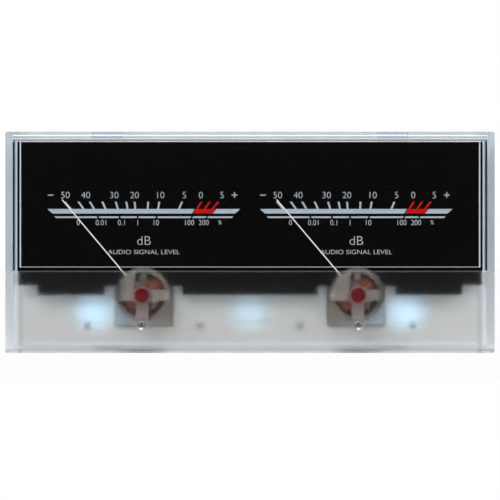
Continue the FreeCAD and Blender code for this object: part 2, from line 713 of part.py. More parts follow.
def movement_frame(name, side):
    """Round cast ring with two lugs and webs that hold the core inside the yoke."""
    frame = Piece(f"{name}_movement_frame").place(side)
    inner = "frame_radius - frame_ring_width"
    frame.pad("frame_y", "frame_depth", circle("0", "0", "frame_radius"), circle("0", "0", inner))
    middle = f"(lug_reach + {inner} + frame_ring_width / 2) / 2"
    length = f"{inner} + frame_ring_width / 2 - lug_reach"
    lugs = [box("0", f"{sign}({middle})", "lug_width", length) for sign in ("-", "")]
    frame.pad("lug_y", "yoke_y - lug_y", *lugs)
    start = "(core_radius - former_gap)"
    end = "(yoke_bore_radius - web_gap)"
    webs = [
        box("0", f"{sign}({start} + {end}) / 2", "lug_width", f"{end} - {start}")
        for sign in ("-", "")
    ]
    frame.pad("yoke_y", "yoke_depth", *webs)
    frame.pocket("yoke_y", "yoke_depth", circle("0", "0", "core_radius + glue_gap"))
    frame.pocket("frame_y", "bridge_screw_bite", *bridge_screw_holes())
    stops = circles(stop_places(), "stop_pin_radius + glue_gap")
    frame.pocket("frame_y", "stop_pin_seat", *stops)


def stop_places():
    across = "post_reach * sin(stop_angle)"
    return [(f"{sign}{across}", "post_reach * cos(stop_angle)") for sign in ("-", "")]


def stop_pins(name, side):
    """Two pins in the frame that catch the root of the pointer beyond its range."""
    pins = Piece(f"{name}_stop_pins").place(side)
    depth = "stop_pin_height + stop_pin_seat"
    pins.pad("frame_y - stop_pin_height", depth, *circles(stop_places(), "stop_pin_radius"))


def rivet_places():
    return [
        (f"{across}(yoke_width / 2 - rivet_inset)", f"{up}(yoke_height / 2 - rivet_inset)")
        for across in ("-", "")
        for up in ("-", "")
    ]


def movement_yoke(name, side):
    """Square soft-iron block with a round bore."""
    yoke = Piece(f"{name}_movement_yoke").place(side)
    outline = box("0", "0", "yoke_width", "yoke_height")
    yoke.pad("yoke_y", "yoke_depth", outline, circle("0", "0", "yoke_bore_radius"))
    yoke.pocket("yoke_y", "yoke_depth", *circles(rivet_places(), "rivet_radius + glue_gap"))


def mounting_plate(name, side):
    """Plate behind the yoke, with an ear on each side for the movement screws."""
    plate = Piece(f"{name}_mounting_plate").place(side)
    plate.pad("mount_y", "mount_thickness", box("0", "0", "yoke_width", "yoke_height"))
    reach = "mount_screw_offset + mount_post_radius"
    plate.pad("mount_y", "mount_thickness", box("0", "0", f"2 * ({reach})", "mount_ear_height"))
    screws = [(f"{sign}mount_screw_offset", "0") for sign in ("-", "")]
    plate.pocket("mount_y", "mount_thickness", circle("0", "0", "yoke_bore_radius - web_gap"))
    holes = circles(screws, "mount_screw_radius + thread_clearance") + bridge_screw_holes()
    holes += circles(rivet_places(), "rivet_radius + glue_gap")
    plate.pocket("mount_y", "mount_thickness", *holes)


def yoke_rivets(name, side):
    """Four rivets that clamp the yoke to its mounting plate."""
    rivets = Piece(f"{name}_yoke_rivets").place(side)
    rivets.pad("yoke_y - rivet_head", "rivet_head", *circles(rivet_places(), "rivet_head_radius"))
    length = "yoke_depth + mount_thickness"
    rivets.pad("yoke_y", length, *circles(rivet_places(), "rivet_radius"))
    rivets.pad("mount_back_y", "rivet_head", *circles(rivet_places(), "rivet_head_radius"))


def core_magnet(name, side):
    """Cylindrical magnet inside the moving coil."""
    core = Piece(f"{name}_core_magnet").place(side)
    core.pad("yoke_y", "yoke_depth", circle("0", "0", "core_radius"))


def post_places():
    return [(f"{sign}post_reach", "0") for sign in ("-", "")]


def front_bridge(name, side):
    """Bar over the coil, with a web on its upper left, two posts and a jewel screw hole."""
    part = Piece(f"{name}_front_bridge").place(side)
    part.pad("bridge_y", "bridge_thickness", circle("0", "0", "web_radius"))
    beyond = "(web_radius + bridge_width)"
    beside = polygon(
        ("-web_upper_reach", beyond),
        (beyond, beyond),
        (beyond, f"-{beyond}"),
        (f"-{beyond}", f"-{beyond}"),
        (f"-{beyond}", "0"),
        ("-web_lower_reach", "0"),
    )
    part.pocket("bridge_y", "bridge_thickness", beside)
    length = "2 * (post_reach + bridge_post_radius + bridge_end)"
    part.pad("bridge_y", "bridge_thickness", box("0", "0", length, "bridge_width"))
    part.pad("bridge_back_y", "frame_y - bridge_back_y", *circles(post_places(), "bridge_post_radius"))
    part.pocket("bridge_y", "frame_y - bridge_y", *bridge_screw_holes())
    part.pocket("bridge_y", "bridge_thickness", circle("0", "0", "jewel_shank_radius + glue_gap"))


def rear_bridge(name, side):
    """Bar behind the coil with two posts on the mounting plate and a tab for the hairspring."""
    part = Piece(f"{name}_rear_bridge").place(side)
    end = "(post_reach + bridge_post_radius + bridge_end)"
    right = [
        (end, "-bridge_width / 2"),
        (end, "bridge_width / 2"),
        ("tab_width / 2", "bridge_width / 2"),
        ("tab_width / 2", "tab_reach"),
    ]
    left = [(f"-{x}", z) for x, z in reversed(right)]
    part.pad("rear_bridge_y", "bridge_thickness", polygon(*right, *left))
    part.pad("mount_back_y", "rear_post_height", *circles(post_places(), "bridge_post_radius"))
    tab = box("0", "tab_reach - tab_thickness / 2", "tab_width", "tab_thickness")
    part.pad("rear_spring_y", "rear_bridge_y - rear_spring_y", tab)
    part.pocket("mount_back_y", "rear_bridge_back_y - mount_back_y", *bridge_screw_holes())
    part.pocket("rear_bridge_y", "bridge_thickness", circle("0", "0", "jewel_shank_radius + glue_gap"))


def bridge_screw_holes():
    return circles(post_places(), "bridge_screw_radius + thread_clearance")


def bridge_screws(name, side):
    """Two small screws through each bridge, heads outwards."""
    screws = Piece(f"{name}_bridge_screws").place(side)
    heads = circles(post_places(), "bridge_screw_head_radius")
    shanks = circles(post_places(), "bridge_screw_radius")
    screws.pad("bridge_y - bridge_screw_head", "bridge_screw_head", *heads)
    screws.pad("bridge_y", "frame_y - bridge_y + bridge_screw_bite", *shanks)
    screws.pad("rear_bridge_back_y", "bridge_screw_head", *heads)
    length = "rear_bridge_back_y - mount_back_y + bridge_screw_bite"
    screws.pad("mount_back_y - bridge_screw_bite", length, *shanks)


def front_jewel_screw(name, side):
    """Slotted screw in the front bridge that carries the zero lever and a jewel."""
    screw = Piece(f"{name}_front_jewel_screw").place(side)
    head_y = "lever_y - jewel_head_gap - jewel_head"
    screw.pad(head_y, "jewel_head", circle("0", "0", "jewel_head_radius"))
    shank_y = "lever_y - jewel_head_gap"
    screw.pad(shank_y, f"bridge_back_y + jewel_stand - ({shank_y})", circle("0", "0", "jewel_shank_radius"))
    depth = "jewel_depth + jewel_end_play"
    bore = circle("0", "0", "staff_radius + jewel_clearance")
    screw.pocket(f"bridge_back_y + jewel_stand - ({depth})", depth, bore)
    slot = box("0", "0", "2 * jewel_head_radius", "driver_slot_width")
    screw.pocket(head_y, "driver_slot_depth", slot)


def rear_jewel_screw(name, side):
    """Slotted screw in the rear bridge with the rear jewel."""
    screw = Piece(f"{name}_rear_jewel_screw").place(side)
    screw.pad("rear_bridge_back_y", "jewel_head", circle("0", "0", "jewel_head_radius"))
    front = "rear_bridge_y - jewel_stand"
    screw.pad(front, "bridge_thickness + jewel_stand", circle("0", "0", "jewel_shank_radius"))
    bore = circle("0", "0", "staff_radius + jewel_clearance")
    screw.pocket(front, "jewel_depth + jewel_end_play", bore)
    slot = box("0", "0", "2 * jewel_head_radius", "driver_slot_width")
    screw.pocket("rear_bridge_back_y + jewel_head - driver_slot_depth", "driver_slot_depth", slot)


def zero_lever(name, side):
    """Flat lever on the jewel screw: a fork below and a bent tab for the hairspring above."""
    lever = Piece(f"{name}_zero_lever").place(side)
    outlines = [
        circle("0", "0", "lever_ring_radius"),
        box("0", "-fork_reach / 2", "lever_arm_width", "fork_reach"),
        box("0", "tab_reach / 2", "tab_width", "tab_reach"),
    ]
    for outline in outlines:
        lever.pad("lever_y", "lever_thickness", outline)
    tab = box("0", "tab_reach - tab_thickness / 2", "tab_width", "tab_thickness")
    lever.pad("lever_y + lever_thickness", "spring_y + spring_height - lever_y - lever_thickness", tab)
    hole = circle("0", "0", "jewel_shank_radius + lever_clearance")
    slot = box("0", "-(fork_reach - fork_depth / 2)", "2 * (pin_radius + fork_clearance)", "fork_depth")
    lever.pocket("lever_y", "lever_thickness", hole, slot)


def zero_screw(name, side):
    """Clear screw in the cover whose eccentric pin swings the zero lever."""
    screw = Piece(f"{name}_zero_screw").place(side)
    low = "-zero_drop"
    screw.pad("zero_head_y", "zero_head", circle("0", low, "zero_head_radius"))
    front = number("zero_head_y")
    screw.fillet("zero_head_round", lambda edge: abs(edge.CenterOfMass.y - front) < TOUCH)
    shaft = circle("0", low, "zero_shaft_radius")
    screw.pad("zero_shaft_y", "zero_collar_y - zero_shaft_y", shaft)
    screw.pad("zero_collar_y", "zero_collar", circle("0", low, "zero_collar_radius"))
    length = "lever_y + lever_thickness + pin_overrun - zero_collar_y - zero_collar"
    pin = circle("0", "-(zero_drop - pin_eccentricity)", "pin_radius")
    screw.pad("zero_collar_y + zero_collar", length, pin)
    slot = box("0", low, "2 * zero_head_radius", "zero_slot_width")
    screw.pocket("zero_head_y", "zero_slot_depth", slot)


def pointer(name, side):
    """Sheet pointer with a hub, a tail and two side arms for the balance weights."""
    part = Piece(f"{name}_pointer").place(side, "rest_angle")
    blade = box("0", "pointer_length / 2", "pointer_width", "pointer_length")
    part.pad("pointer_y", "pointer_thickness", blade)
    part.pad("pointer_y", "pointer_thickness", box("0", "-arm_length / 2", "arm_width", "arm_length"))
    part.pad("pointer_y", "pointer_thickness", box("0", "0", "2 * arm_length", "arm_width"))
    part.pad("pointer_y - hub_stand", "hub_length", circle("0", "0", "hub_radius"))
    hole = circle("0", "0", "staff_radius + collet_clearance")
    part.pocket("pointer_y - hub_stand", "hub_length", hole)


def balance_weights(name, side):
    """Three brass sleeves on the pointer's arms."""
    weights = Piece(f"{name}_balance_weights").place(side, "rest_angle")
    tail = circle("0", "pointer_middle_y", "tail_weight_radius")
    gap = "2 * weight_clearance"
    flat = box("0", "pointer_middle_y", f"arm_width + {gap}", f"pointer_thickness + {gap}")
    weights.pad_up("-arm_length", "tail_weight_length", tail, flat)
    sleeve = circle("pointer_middle_y", "0", "side_weight_radius")
    bar = box("pointer_middle_y", "0", f"pointer_thickness + {gap}", f"arm_width + {gap}")
    weights.pad_right("-arm_length", "side_weight_length", sleeve, bar)
    weights.pad_right("arm_length - side_weight_length", "side_weight_length", sleeve, bar)


def coil_loop(label, side, radius, front, back, thickness, width):
    """A flat closed strip round the core, standing on the pivot axis."""
    loop = Piece(label).place(side, "rest_angle")
    depth = f"({back}) - ({front})"
    middle = f"(({back}) + ({front})) / 2"
    outer = box("0", middle, f"2 * {radius}", depth)
    inner = box("0", middle, f"2 * ({radius} - {thickness})", f"{depth} - 2 * {thickness}")
    loop.pad_up(f"-{width} / 2", width, outer, inner)
    return loop


def moving_coil(name, side):
    """Aluminium former and copper winding, across the pointer."""
    ends = ("former_y", "former_back_y")
    coil_loop(f"{name}_coil_former", side, "former_radius", *ends, "former_thickness", "former_width")
    ends = ("winding_y", "winding_back_y")
    coil_loop(
        f"{name}_coil_winding", side, "winding_radius", *ends, "winding_thickness", "winding_width"
    )


def pivot_staffs(name, side):
    """Front and rear staff, each on a foot that is glued to the winding."""
    staffs = Piece(f"{name}_pivot_staffs").place(side, "rest_angle")
    tip_y = "bridge_back_y + jewel_stand - jewel_depth"
    staffs.pad("winding_y - staff_foot", "staff_foot", circle("0", "0", "staff_foot_radius"))
    staffs.pad(tip_y, f"winding_y - staff_foot - ({tip_y})", circle("0", "0", "staff_radius"))
    staffs.pad("winding_back_y", "staff_foot", circle("0", "0", "staff_foot_radius"))
    end_y = "rear_bridge_y - jewel_stand + jewel_depth"
    start = "winding_back_y + staff_foot"
    staffs.pad(start, f"{end_y} - ({start})", circle("0", "0", "staff_radius"))


def spiral_edges(inner, step, half_turns):
    """Half-circle arcs that start above the pivot and grow by one step each half turn."""
    edges = []
    for turn in range(half_turns):
        side = 1 if turn % 2 == 0 else -1
        start = inner + turn * step
        end = start + step
        radius = (start + end) / 2
        center = side * (start - end) / 2
        first = FreeCAD.Vector(0, 0, side * start)
        middle = FreeCAD.Vector(side * radius, 0, center)
        last = FreeCAD.Vector(0, 0, -side * end)
        edges.append(Part.Arc(first, middle, last).toShape())
    return edges


def hairspring(name, side, place, front):
    """Flat spiral from the collet on a staff out to the tab that holds its outer end."""
    strip = number("spring_strip")
    height = number("spring_height")
    half_turns = 2 * int(number("spring_turns"))
    collet = number("collet_radius")
    inner = collet - strip
    outer = number("tab_reach - tab_thickness - glue_gap") - strip
    step = (outer - inner) / half_turns
    near = spiral_edges(inner, step, half_turns)
    far = spiral_edges(inner + strip, step, half_turns)
    ends = [
        Part.LineSegment(near[0].Vertexes[0].Point, far[0].Vertexes[0].Point).toShape(),
        Part.LineSegment(near[-1].Vertexes[-1].Point, far[-1].Vertexes[-1].Point).toShape(),
    ]
    outline = Part.Wire(Part.sortEdges(near + far + ends)[0])
    along = FreeCAD.Vector(0, 1, 0)
    spiral = Part.Face(outline).extrude(along * height)
    ring = Part.makeCylinder(collet, height, FreeCAD.Vector(), along)
    bore = Part.makeCylinder(number("staff_radius + collet_clearance"), height, FreeCAD.Vector(), along)
    spring = doc.addObject("Part::Feature", f"{name}_{place}_hairspring")
    spring.Shape = spiral.fuse(ring).cut(bore).removeSplitter()
    corner = FreeCAD.Vector(number(f"{side} * channel_offset"), number(front), number("pivot_height"))
    spring.Placement = FreeCAD.Placement(corner, FreeCAD.Rotation())
    PIECES.append(spring)


def movement(name, side):
    """One channel: everything that is carried by its mounting plate."""
    movement_frame(name, side)
    stop_pins(name, side)
    movement_yoke(name, side)
    yoke_rivets(name, side)
    mounting_plate(name, side)
    core_magnet(name, side)
    front_bridge(name, side)
    rear_bridge(name, side)
    bridge_screws(name, side)
    front_jewel_screw(name, side)
    rear_jewel_screw(name, side)
    zero_lever(name, side)
    zero_screw(name, side)
    pointer(name, side)
    balance_weights(name, side)
    moving_coil(name, side)
    pivot_staffs(name, side)
    hairspring(name, side, "front", "spring_y")
    hairspring(name, side, "rear", "rear_spring_y")
    places = [(f"{side} * channel_offset {sign} mount_screw_offset", "pivot_height") for sign in ("-", "+")]
    screw_group(f"{name}_movement_screws", "mount_y", places, "mount_screw")
    places = [(f"{side} * channel_offset {sign} tag_offset", "tag_height") for sign in ("-", "+")]
    solder_tags(Piece(f"{name}_terminal_tags"), places, "floor_y - tag_inner_length")


def write_parts():
    """Check every object, then write each sub-part to its own file."""
    doc.recompute()
    for item in doc.Objects:
        if "Invalid" in item.State or "Error" in item.State:
            raise ValueError(f"{item.Label} did not build")
    for piece in PIECES:
        if piece.Shape.isNull() or not piece.Shape.isValid():
            raise ValueError(f"{piece.Label} has no valid shape")
    os.makedirs("parts", exist_ok=True)
    for piece in PIECES:
        piece.Shape.exportStep(f"parts/{piece.Label}.step")


fill_sheet()
front_cover()
rear_base()
mounting_inserts()
dial_plate()
light_panel()
screw_group("panel_screws", "panel_y", panel_post_places(), "panel_screw")
lamp_board()
screw_group("board_screws", "board_y", board_post_places(), "board_screw")
lamps()
solder_tags(Piece("lamp_tags"), lamp_tag_places(), "board_y")
for side_name, side_sign in SIDES:
    movement(side_name, side_sign)
write_parts()
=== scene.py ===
"""Twin level meter: finishes, printed scales, small turned parts and the stage."""
import math

import bmesh
import bpy
from mathutils import Matrix, Vector


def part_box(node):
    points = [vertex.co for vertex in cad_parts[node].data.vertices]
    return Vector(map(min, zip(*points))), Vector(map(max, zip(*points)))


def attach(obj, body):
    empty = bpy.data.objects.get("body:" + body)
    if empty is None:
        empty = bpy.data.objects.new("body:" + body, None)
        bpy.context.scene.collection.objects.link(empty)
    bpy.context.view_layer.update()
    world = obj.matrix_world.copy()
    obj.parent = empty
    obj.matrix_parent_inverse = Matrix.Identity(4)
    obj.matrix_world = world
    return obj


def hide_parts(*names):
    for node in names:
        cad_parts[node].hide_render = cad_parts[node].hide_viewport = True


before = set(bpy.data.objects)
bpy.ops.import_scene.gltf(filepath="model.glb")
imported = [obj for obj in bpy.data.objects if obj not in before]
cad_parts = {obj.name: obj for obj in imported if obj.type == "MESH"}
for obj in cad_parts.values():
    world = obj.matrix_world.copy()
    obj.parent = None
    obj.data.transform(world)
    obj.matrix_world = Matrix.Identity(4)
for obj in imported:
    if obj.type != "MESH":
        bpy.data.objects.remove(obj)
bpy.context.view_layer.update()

bl_info = {
    "name": "Twin level meter",
    "version": (1, 0, 0),
    "blender": (4, 5, 0),
    "location": "3D View > Sidebar > Level Meter",
    "description": "Finishes a two-channel level meter and sets it on its stage",
    "category": "Object",
}

MM = 0.001
MERGE = 1e-6  # points closer than this are one point
CHANNELS = ("left", "right")


# ---- places read from the frame


def on_axis(low, high, y):
    """The point at a depth y on the line that runs front to back through a box's middle."""
    return Vector(((low.x + high.x) / 2, y, (low.z + high.z) / 2))


def pivot(channel):
    """The point where a channel's pointer turns, in the plane of the dial plate's face."""
    return on_axis(*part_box(f"{channel}_movement_yoke"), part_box("dial_plate")[0].y)


def solid_places(node):
    """The lowest and highest corner of each separate solid of a node, from left to right."""
    mesh = bmesh.new()
    mesh.from_mesh(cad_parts[node].data)
    bmesh.ops.remove_doubles(mesh, verts=mesh.verts, dist=MERGE)
    todo = set(mesh.verts)
    places = []
    while todo:
        island = [todo.pop()]
        for vert in island:
            for edge in vert.link_edges:
                other = edge.other_vert(vert)
                if other in todo:
                    todo.discard(other)
                    island.append(other)
        low = Vector([min(vert.co[axis] for vert in island) for axis in range(3)])
        high = Vector([max(vert.co[axis] for vert in island) for axis in range(3)])
        places.append((low, high))
    mesh.free()
    return sorted(places, key=lambda corners: tuple(corners[0]))


LAMPS = solid_places("lamp_caps")
COVER_LOW, COVER_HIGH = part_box("front_cover")
LEDGE_Y = COVER_LOW.y + 2 * MM  # face of the ledge round the raised window
FRONT_Y = LEDGE_Y + 0.1 * MM  # the front faces lie before this
RIM_X = COVER_HIGH.x - 2.4 * MM  # side of the window; the cover's rim lies beyond it
CORNER_X = RIM_X - 1.7 * MM  # inner corner beside the window
TOP_Z = COVER_HIGH.z - 1.1 * MM  # upper edge of the window
WINDOW_BOTTOM = 22.5 * MM
SEAM = 0.04 * MM  # gap between the cover and the flange behind it


# ---- settings


def length(label, meaning, value):
    return bpy.props.FloatProperty(
        name=label, description=meaning, default=value, min=0, unit="LENGTH", precision=5
    )


def share(label, meaning, value):
    return bpy.props.FloatProperty(
        name=label, description=meaning, default=value, min=0, max=1, subtype="FACTOR"
    )


def angle(label, meaning, degrees):
    return bpy.props.FloatProperty(
        name=label, description=meaning, default=math.radians(degrees), subtype="ANGLE"
    )


def colour(label, meaning, *tone):
    return bpy.props.FloatVectorProperty(
        name=label, description=meaning, default=tone, min=0, max=1, subtype="COLOR"
    )


class MeterCaseSettings(bpy.types.PropertyGroup):
    """Rounding and finish of the clear cover and the white base."""

    cover_edge: length("Cover edges", "Rounding of the edges of the clear cover", 0.35 * MM)
    base_edge: length("Base edges", "Rounding of the edges of the white base", 0.3 * MM)
    satin: share("Satin", "Roughness of the satin lower front", 0.33)
    polish: share("Polish", "Roughness of the polished window", 0.02)
    acrylic: colour("Acrylic", "Tint of the clear cover", 0.93, 0.965, 1.0)
    rim: colour("Rim", "Tint of the clear wall beside the window", 0.86, 0.94, 1.0)
    white: colour("White plastic", "Moulded base", 0.86, 0.87, 0.87)
    panel: colour("Light panel", "Panel behind the satin front", 0.80, 0.775, 0.715)
    black: colour("Dial black", "Paint of the dial plate", 0.0007, 0.0004, 0.0005)


class MeterScaleSettings(bpy.types.PropertyGroup):
    """Printed scale: heights are above the pivot."""

    ink: length("Ink", "Thickness of the printing", 0.02 * MM)
    bar_low: length("Bar, lower edge", "Broad bar above the pivot", 22.67 * MM)
    bar_high: length("Bar, upper edge", "Broad bar above the pivot", 23.95 * MM)
    bar_end: angle("Bar end", "Ends of the broad bar from upright", 48.3)
    red_start: angle("Red start", "Start of the red stretch", 31.1)
    red_end: angle("Red end", "End of the red stretch", 40.0)
    tick_high: length("Tick, upper edge", "Tops of the ticks above the pivot", 25.97 * MM)
    tick_width: length("Tick width", "Width of a tick", 0.52 * MM)
    thin_low: length("Thin bar, lower edge", "Thin bar above the pivot", 21.41 * MM)
    thin_high: length("Thin bar, upper edge", "Thin bar above the pivot", 21.89 * MM)
    thin_end: angle("Thin bar end", "Ends of the thin bar from upright", 48.8)
    thin_gap: length("Thin bar gap", "Gaps that divide the thin bar", 0.52 * MM)
    upper_figures: length("Upper figures", "Middle of the upper figures", 27.83 * MM)
    upper_size: length("Upper figure height", "Height of the upper figures", 1.76 * MM)
    lower_figures: length("Lower figures", "Middle of the lower figures", 20.16 * MM)
    lower_size: length("Lower figure height", "Height of the lower figures", 1.45 * MM)
    bar_ink: colour("Bar ink", "Bars and ticks", 0.65, 0.725, 0.775)
    figure_ink: colour("Figure ink", "Figures and words", 0.94, 0.94, 0.94)
    red_ink: colour("Red ink", "Overload stretch", 0.76, 0.003, 0.001)


class MeterMovementSettings(bpy.types.PropertyGroup):
    """Metals and lacquers of the two movements."""

    small_edge: length("Small edges", "Rounding of pressed and cut metal", 0.06 * MM)
    cast_edge: length("Cast edges", "Rounding of the cast frame", 0.16 * MM)
    lacquer: colour("Lacquer", "Red lacquer on the jewel screws", 0.26, 0.001, 0.010)
    needle: colour("Needle", "Paint of the pointer", 0.95, 0.92, 0.87)
    copper: colour("Copper", "Enamelled winding wire", 0.76, 0.16, 0.075)
    lamp_blue: colour("Lamp light", "Pale blue light of the lamps", 0.42, 0.76, 1.0)


class MeterStageSettings(bpy.types.PropertyGroup):
    """Camera, lamps and floor."""

    eye_distance: length("Eye distance", "Camera in front of the ledge", 336 * MM)
    eye_height: length("Eye height", "Camera above the floor", 28.2 * MM)
    view_width: length("View width", "Width of the view at the ledge", 136.9 * MM)
    floor_glow: share("Floor glow", "Share of the floor that always looks white", 0.96)


SETTINGS = {
    "meter_case": MeterCaseSettings,
    "meter_scale": MeterScaleSettings,
    "meter_movement": MeterMovementSettings,
    "meter_stage": MeterStageSettings,
}


def settings(name):
    return getattr(bpy.context.scene, name)


# ---- shader maths


def maths(operation):
    """A method that adds the Math node of one Python operator."""
    return lambda self, *others: self.math(operation, *others)


class Signal:
    """The output of a shader node; arithmetic on it adds Math nodes."""

    def __init__(self, shader, socket):
        self.shader = shader
        self.socket = socket

    def math(self, operation, *others, clamp=False):
        options = {"operation": operation, "use_clamp": clamp}
        return self.shader.add("ShaderNodeMath", options, dict(enumerate((self, *others))))

    __add__ = __radd__ = maths("ADD")
    __sub__ = maths("SUBTRACT")
    __mul__ = __rmul__ = maths("MULTIPLY")
    __truediv__ = maths("DIVIDE")
    __gt__ = maths("GREATER_THAN")
    __lt__ = maths("LESS_THAN")
    __abs__ = maths("ABSOLUTE")

    def __rsub__(self, other):
        return self.shader.add("ShaderNodeMath", {"operation": "SUBTRACT"}, {0: other, 1: self})

    def limited(self):
        """The value kept between 0 and 1."""
        return self.math("ADD", 0.0, clamp=True)


class Shader:
    """The node tree of one material, or of the world."""

    def __init__(self, tree):
        self.tree = tree
        tree.nodes.clear()

    def add(self, kind, options=None, values=None, output=0):
        """Any node: its options are set first, then its inputs are set or linked."""
        node = self.tree.nodes.new(kind)
        for name, value in (options or {}).items():
            setattr(node, name, value)
        for key, value in (values or {}).items():
            if isinstance(value, Signal):
                self.tree.links.new(value.socket, node.inputs[key])
            else:
                node.inputs[key].default_value = value
        return Signal(self, node.outputs[output]) if node.outputs else None

    def place(self):
        return self.add("ShaderNodeTexCoord", output="Object")

    def axes(self, vector=None):
        """The three parts of a vector, or of the object coordinates."""
        split = self.add("ShaderNodeSeparateXYZ", values={0: vector or self.place()})
        return [Signal(self, socket) for socket in split.socket.node.outputs]

    def noise(self, size, vector=None, detail=2.0):
        """Noise from 0 to 1 with features of about the given size."""
        values = {"Vector": vector or self.place(), "Scale": 1 / size, "Detail": detail}
        return self.add("ShaderNodeTexNoise", values=values)

    def mapped(self, **values):
        """Object coordinates stretched along each axis by Scale, or turned by Rotation."""
        return self.add("ShaderNodeMapping", values={"Vector": self.place(), **values})

    def mix(self, factor, first, second):
        values = {0: factor, 6: solid(first), 7: solid(second)}
        return self.add("ShaderNodeMix", {"data_type": "RGBA"}, values, output=2)

    def bump(self, height, distance, strength=1.0):
        values = {"Height": height, "Distance": distance, "Strength": strength}
        return self.add("ShaderNodeBump", values=values)

    def ray(self, kind):
        """1 for rays of one kind, such as Camera, and 0 for others."""
        return self.add("ShaderNodeLightPath", output=f"Is {kind} Ray")

    def surface(self, **values):
        """A Principled surface; each name is a socket's, with _ for a space."""
        inputs = {name.replace("_", " "): value for name, value in values.items()}
        shader = self.add("ShaderNodeBsdfPrincipled", values=inputs)
        self.add("ShaderNodeOutputMaterial", values={"Surface": shader})


def solid(tone):
    """A colour with its alpha; signals pass unchanged."""
    return tone if isinstance(tone, Signal) or len(tone) == 4 else (*tone, 1.0)


def dimmed(tone, factor):
    return tuple(factor * part for part in tone)


def near(value, target, half):
    """1 where a value is within half of a target, and 0 elsewhere."""
    return abs(value - target) < half


def wave(value, pitch):
    """A sine wave along a length, from -1 to 1, that repeats at a pitch."""
    return (value * (2 * math.pi / pitch)).math("SINE")


def outward(shader):
    """Distance from the nearer pivot towards the side of the case."""
    x, _, _ = shader.axes()
    return abs(x) - pivot("right").x


def from_pivot(shader):
    """Distance from the nearer pivot in the plane of the dial plate."""
    _, _, z = shader.axes()
    across, up = outward(shader), z - pivot("right").z
    return (across * across + up * up).math("SQRT")


MADE = {}


def finish(maker):
    """The material that a maker function fills, made once and named after it."""
    if maker not in MADE:
        MADE[maker] = bpy.data.materials.new(maker.__name__)
        MADE[maker].use_nodes = True
        maker(Shader(MADE[maker].node_tree))
    return MADE[maker]


# ---- plastics and paints


def clear_acrylic(shader):
    """Polished window; the front below it is satin."""
    case = settings("meter_case")
    x, y, z = shader.axes()
    below = z < WINDOW_BOTTOM - 0.3 * MM
    satin = below * (y < FRONT_Y)
    handling = shader.noise(9 * MM, detail=4.0) * 0.012
    grain = shader.noise(0.12 * MM, detail=0.0) * satin
    tint = shader.mix((abs(x) > RIM_X) * (1 - below), case.acrylic, case.rim)
    shader.surface(
        # Painted shade darkens the tint along the cover's corners and edges
        Base_Color=shader.mix(shadow_lines(shader), tint, (0.02, 0.03, 0.05)),
        Roughness=case.polish + handling + satin * (case.satin - case.polish),
        Transmission_Weight=1.0,
        IOR=1.49,
        # Painted highlights glow on the window's edges and on the rim
        Emission_Color=shader.mix(light_on_edges(shader), (0, 0, 0), (0.90, 0.96, 1.0)),
        Emission_Strength=1.0,
        Normal=shader.bump(grain, 0.004 * MM),
    )


def light_on_edges(shader):
    """Painted highlights on the rounded edges of the clear window, and painted light on the rim
    round it and along the foot of the front, from 0 to 1.
    """
    x, y, z = shader.axes()
    band = 0.36 * MM  # reaches over a rounded edge
    at_face = near(y, COVER_LOW.y, band)
    at_inside = near(y, LEDGE_Y, band)
    within = abs(x) < RIM_X
    front = y < FRONT_Y
    above = z > WINDOW_BOTTOM
    tall = (z > WINDOW_BOTTOM + 1.0 * MM) * (z < TOP_Z - 1.7 * MM)
    upper = near(z, TOP_Z - 0.16 * MM, 0.14 * MM) * at_face * within * 0.6
    ceiling = near(z, TOP_Z - 1.2 * MM, 0.22 * MM) * at_face * within * 0.3
    sill = near(z, WINDOW_BOTTOM + 1.0 * MM, 0.13 * MM) * at_inside * within * 0.55
    lower = near(z, WINDOW_BOTTOM - 0.17 * MM, 0.13 * MM) * at_inside * within * 0.085
    uprights = near(abs(x), CORNER_X, 0.14 * MM) * at_inside * tall * 0.5
    # Painted light on the rim beside the window, on the rim below it and along the foot of the
    # front
    beside = (abs(x) > RIM_X) * front * above * 0.07
    corner = (abs(x) > RIM_X + 0.3 * MM) * front * (1 - above) * 0.09
    wall_end = near(z, 1.6 * MM, 0.5 * MM) * front * 0.09
    return upper + sill + lower + uprights + beside + corner + wall_end + ceiling


def shadow_lines(shader):
    """Painted shade of the cover's inner corners, under its upper edge and along its lower edge,
    with a painted dark reflection of each movement in the lower edge, from 0 to 1.
    """
    x, y, z = shader.axes()
    inner = near(y, LEDGE_Y + 2 * MM, 0.1 * MM)
    beside = (abs(x) > RIM_X - 0.15 * MM) * (z > WINDOW_BOTTOM + 0.2 * MM)
    over = z > COVER_HIGH.z - 2.4 * MM
    column = (1.4 - abs(abs(x) - CORNER_X) / (0.8 * MM)).limited()
    downward = ((WINDOW_BOTTOM - z) / (6 * MM)).limited()
    inside_corner = column * downward * (y < FRONT_Y) * 0.34
    # Painted dark reflection of each movement in the lower edge of the cover
    across = outward(shader) / (8 * MM)
    painted_movement_reflection = (1 - across * across).limited() * 0.5
    foot = (z < 1.0 * MM) * (0.25 + painted_movement_reflection)
    below_edge = near(z, TOP_Z - 0.55 * MM, 0.22 * MM) * (y < LEDGE_Y - 1.6 * MM) * 0.3
    return ((beside + over) * inner + inside_corner + foot + below_edge).limited()


def clear_plastic(shader):
    """Small clear mouldings: the zero screws, with a painted highlight along the lower edge of the
    head.
    """
    _, y, z = shader.axes()
    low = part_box("left_zero_screw")[0]
    # Painted highlight: the lower edge of the head glows
    under = (low.z + 0.78 * MM - z) / (0.3 * MM)
    across = outward(shader) / (0.6 * MM)
    painted_glint = under.limited() * (1 - across * across).limited() * (y < low.y + 0.5 * MM)
    shader.surface(
        Emission_Color=shader.mix(painted_glint, (0, 0, 0), (1, 1, 1)),
        Emission_Strength=0.8,
        Base_Color=(0.72, 0.70, 0.69, 1.0),
        Roughness=0.05 + shader.noise(0.6 * MM) * 0.05,
        Transmission_Weight=0.95,
        IOR=1.49,
    )


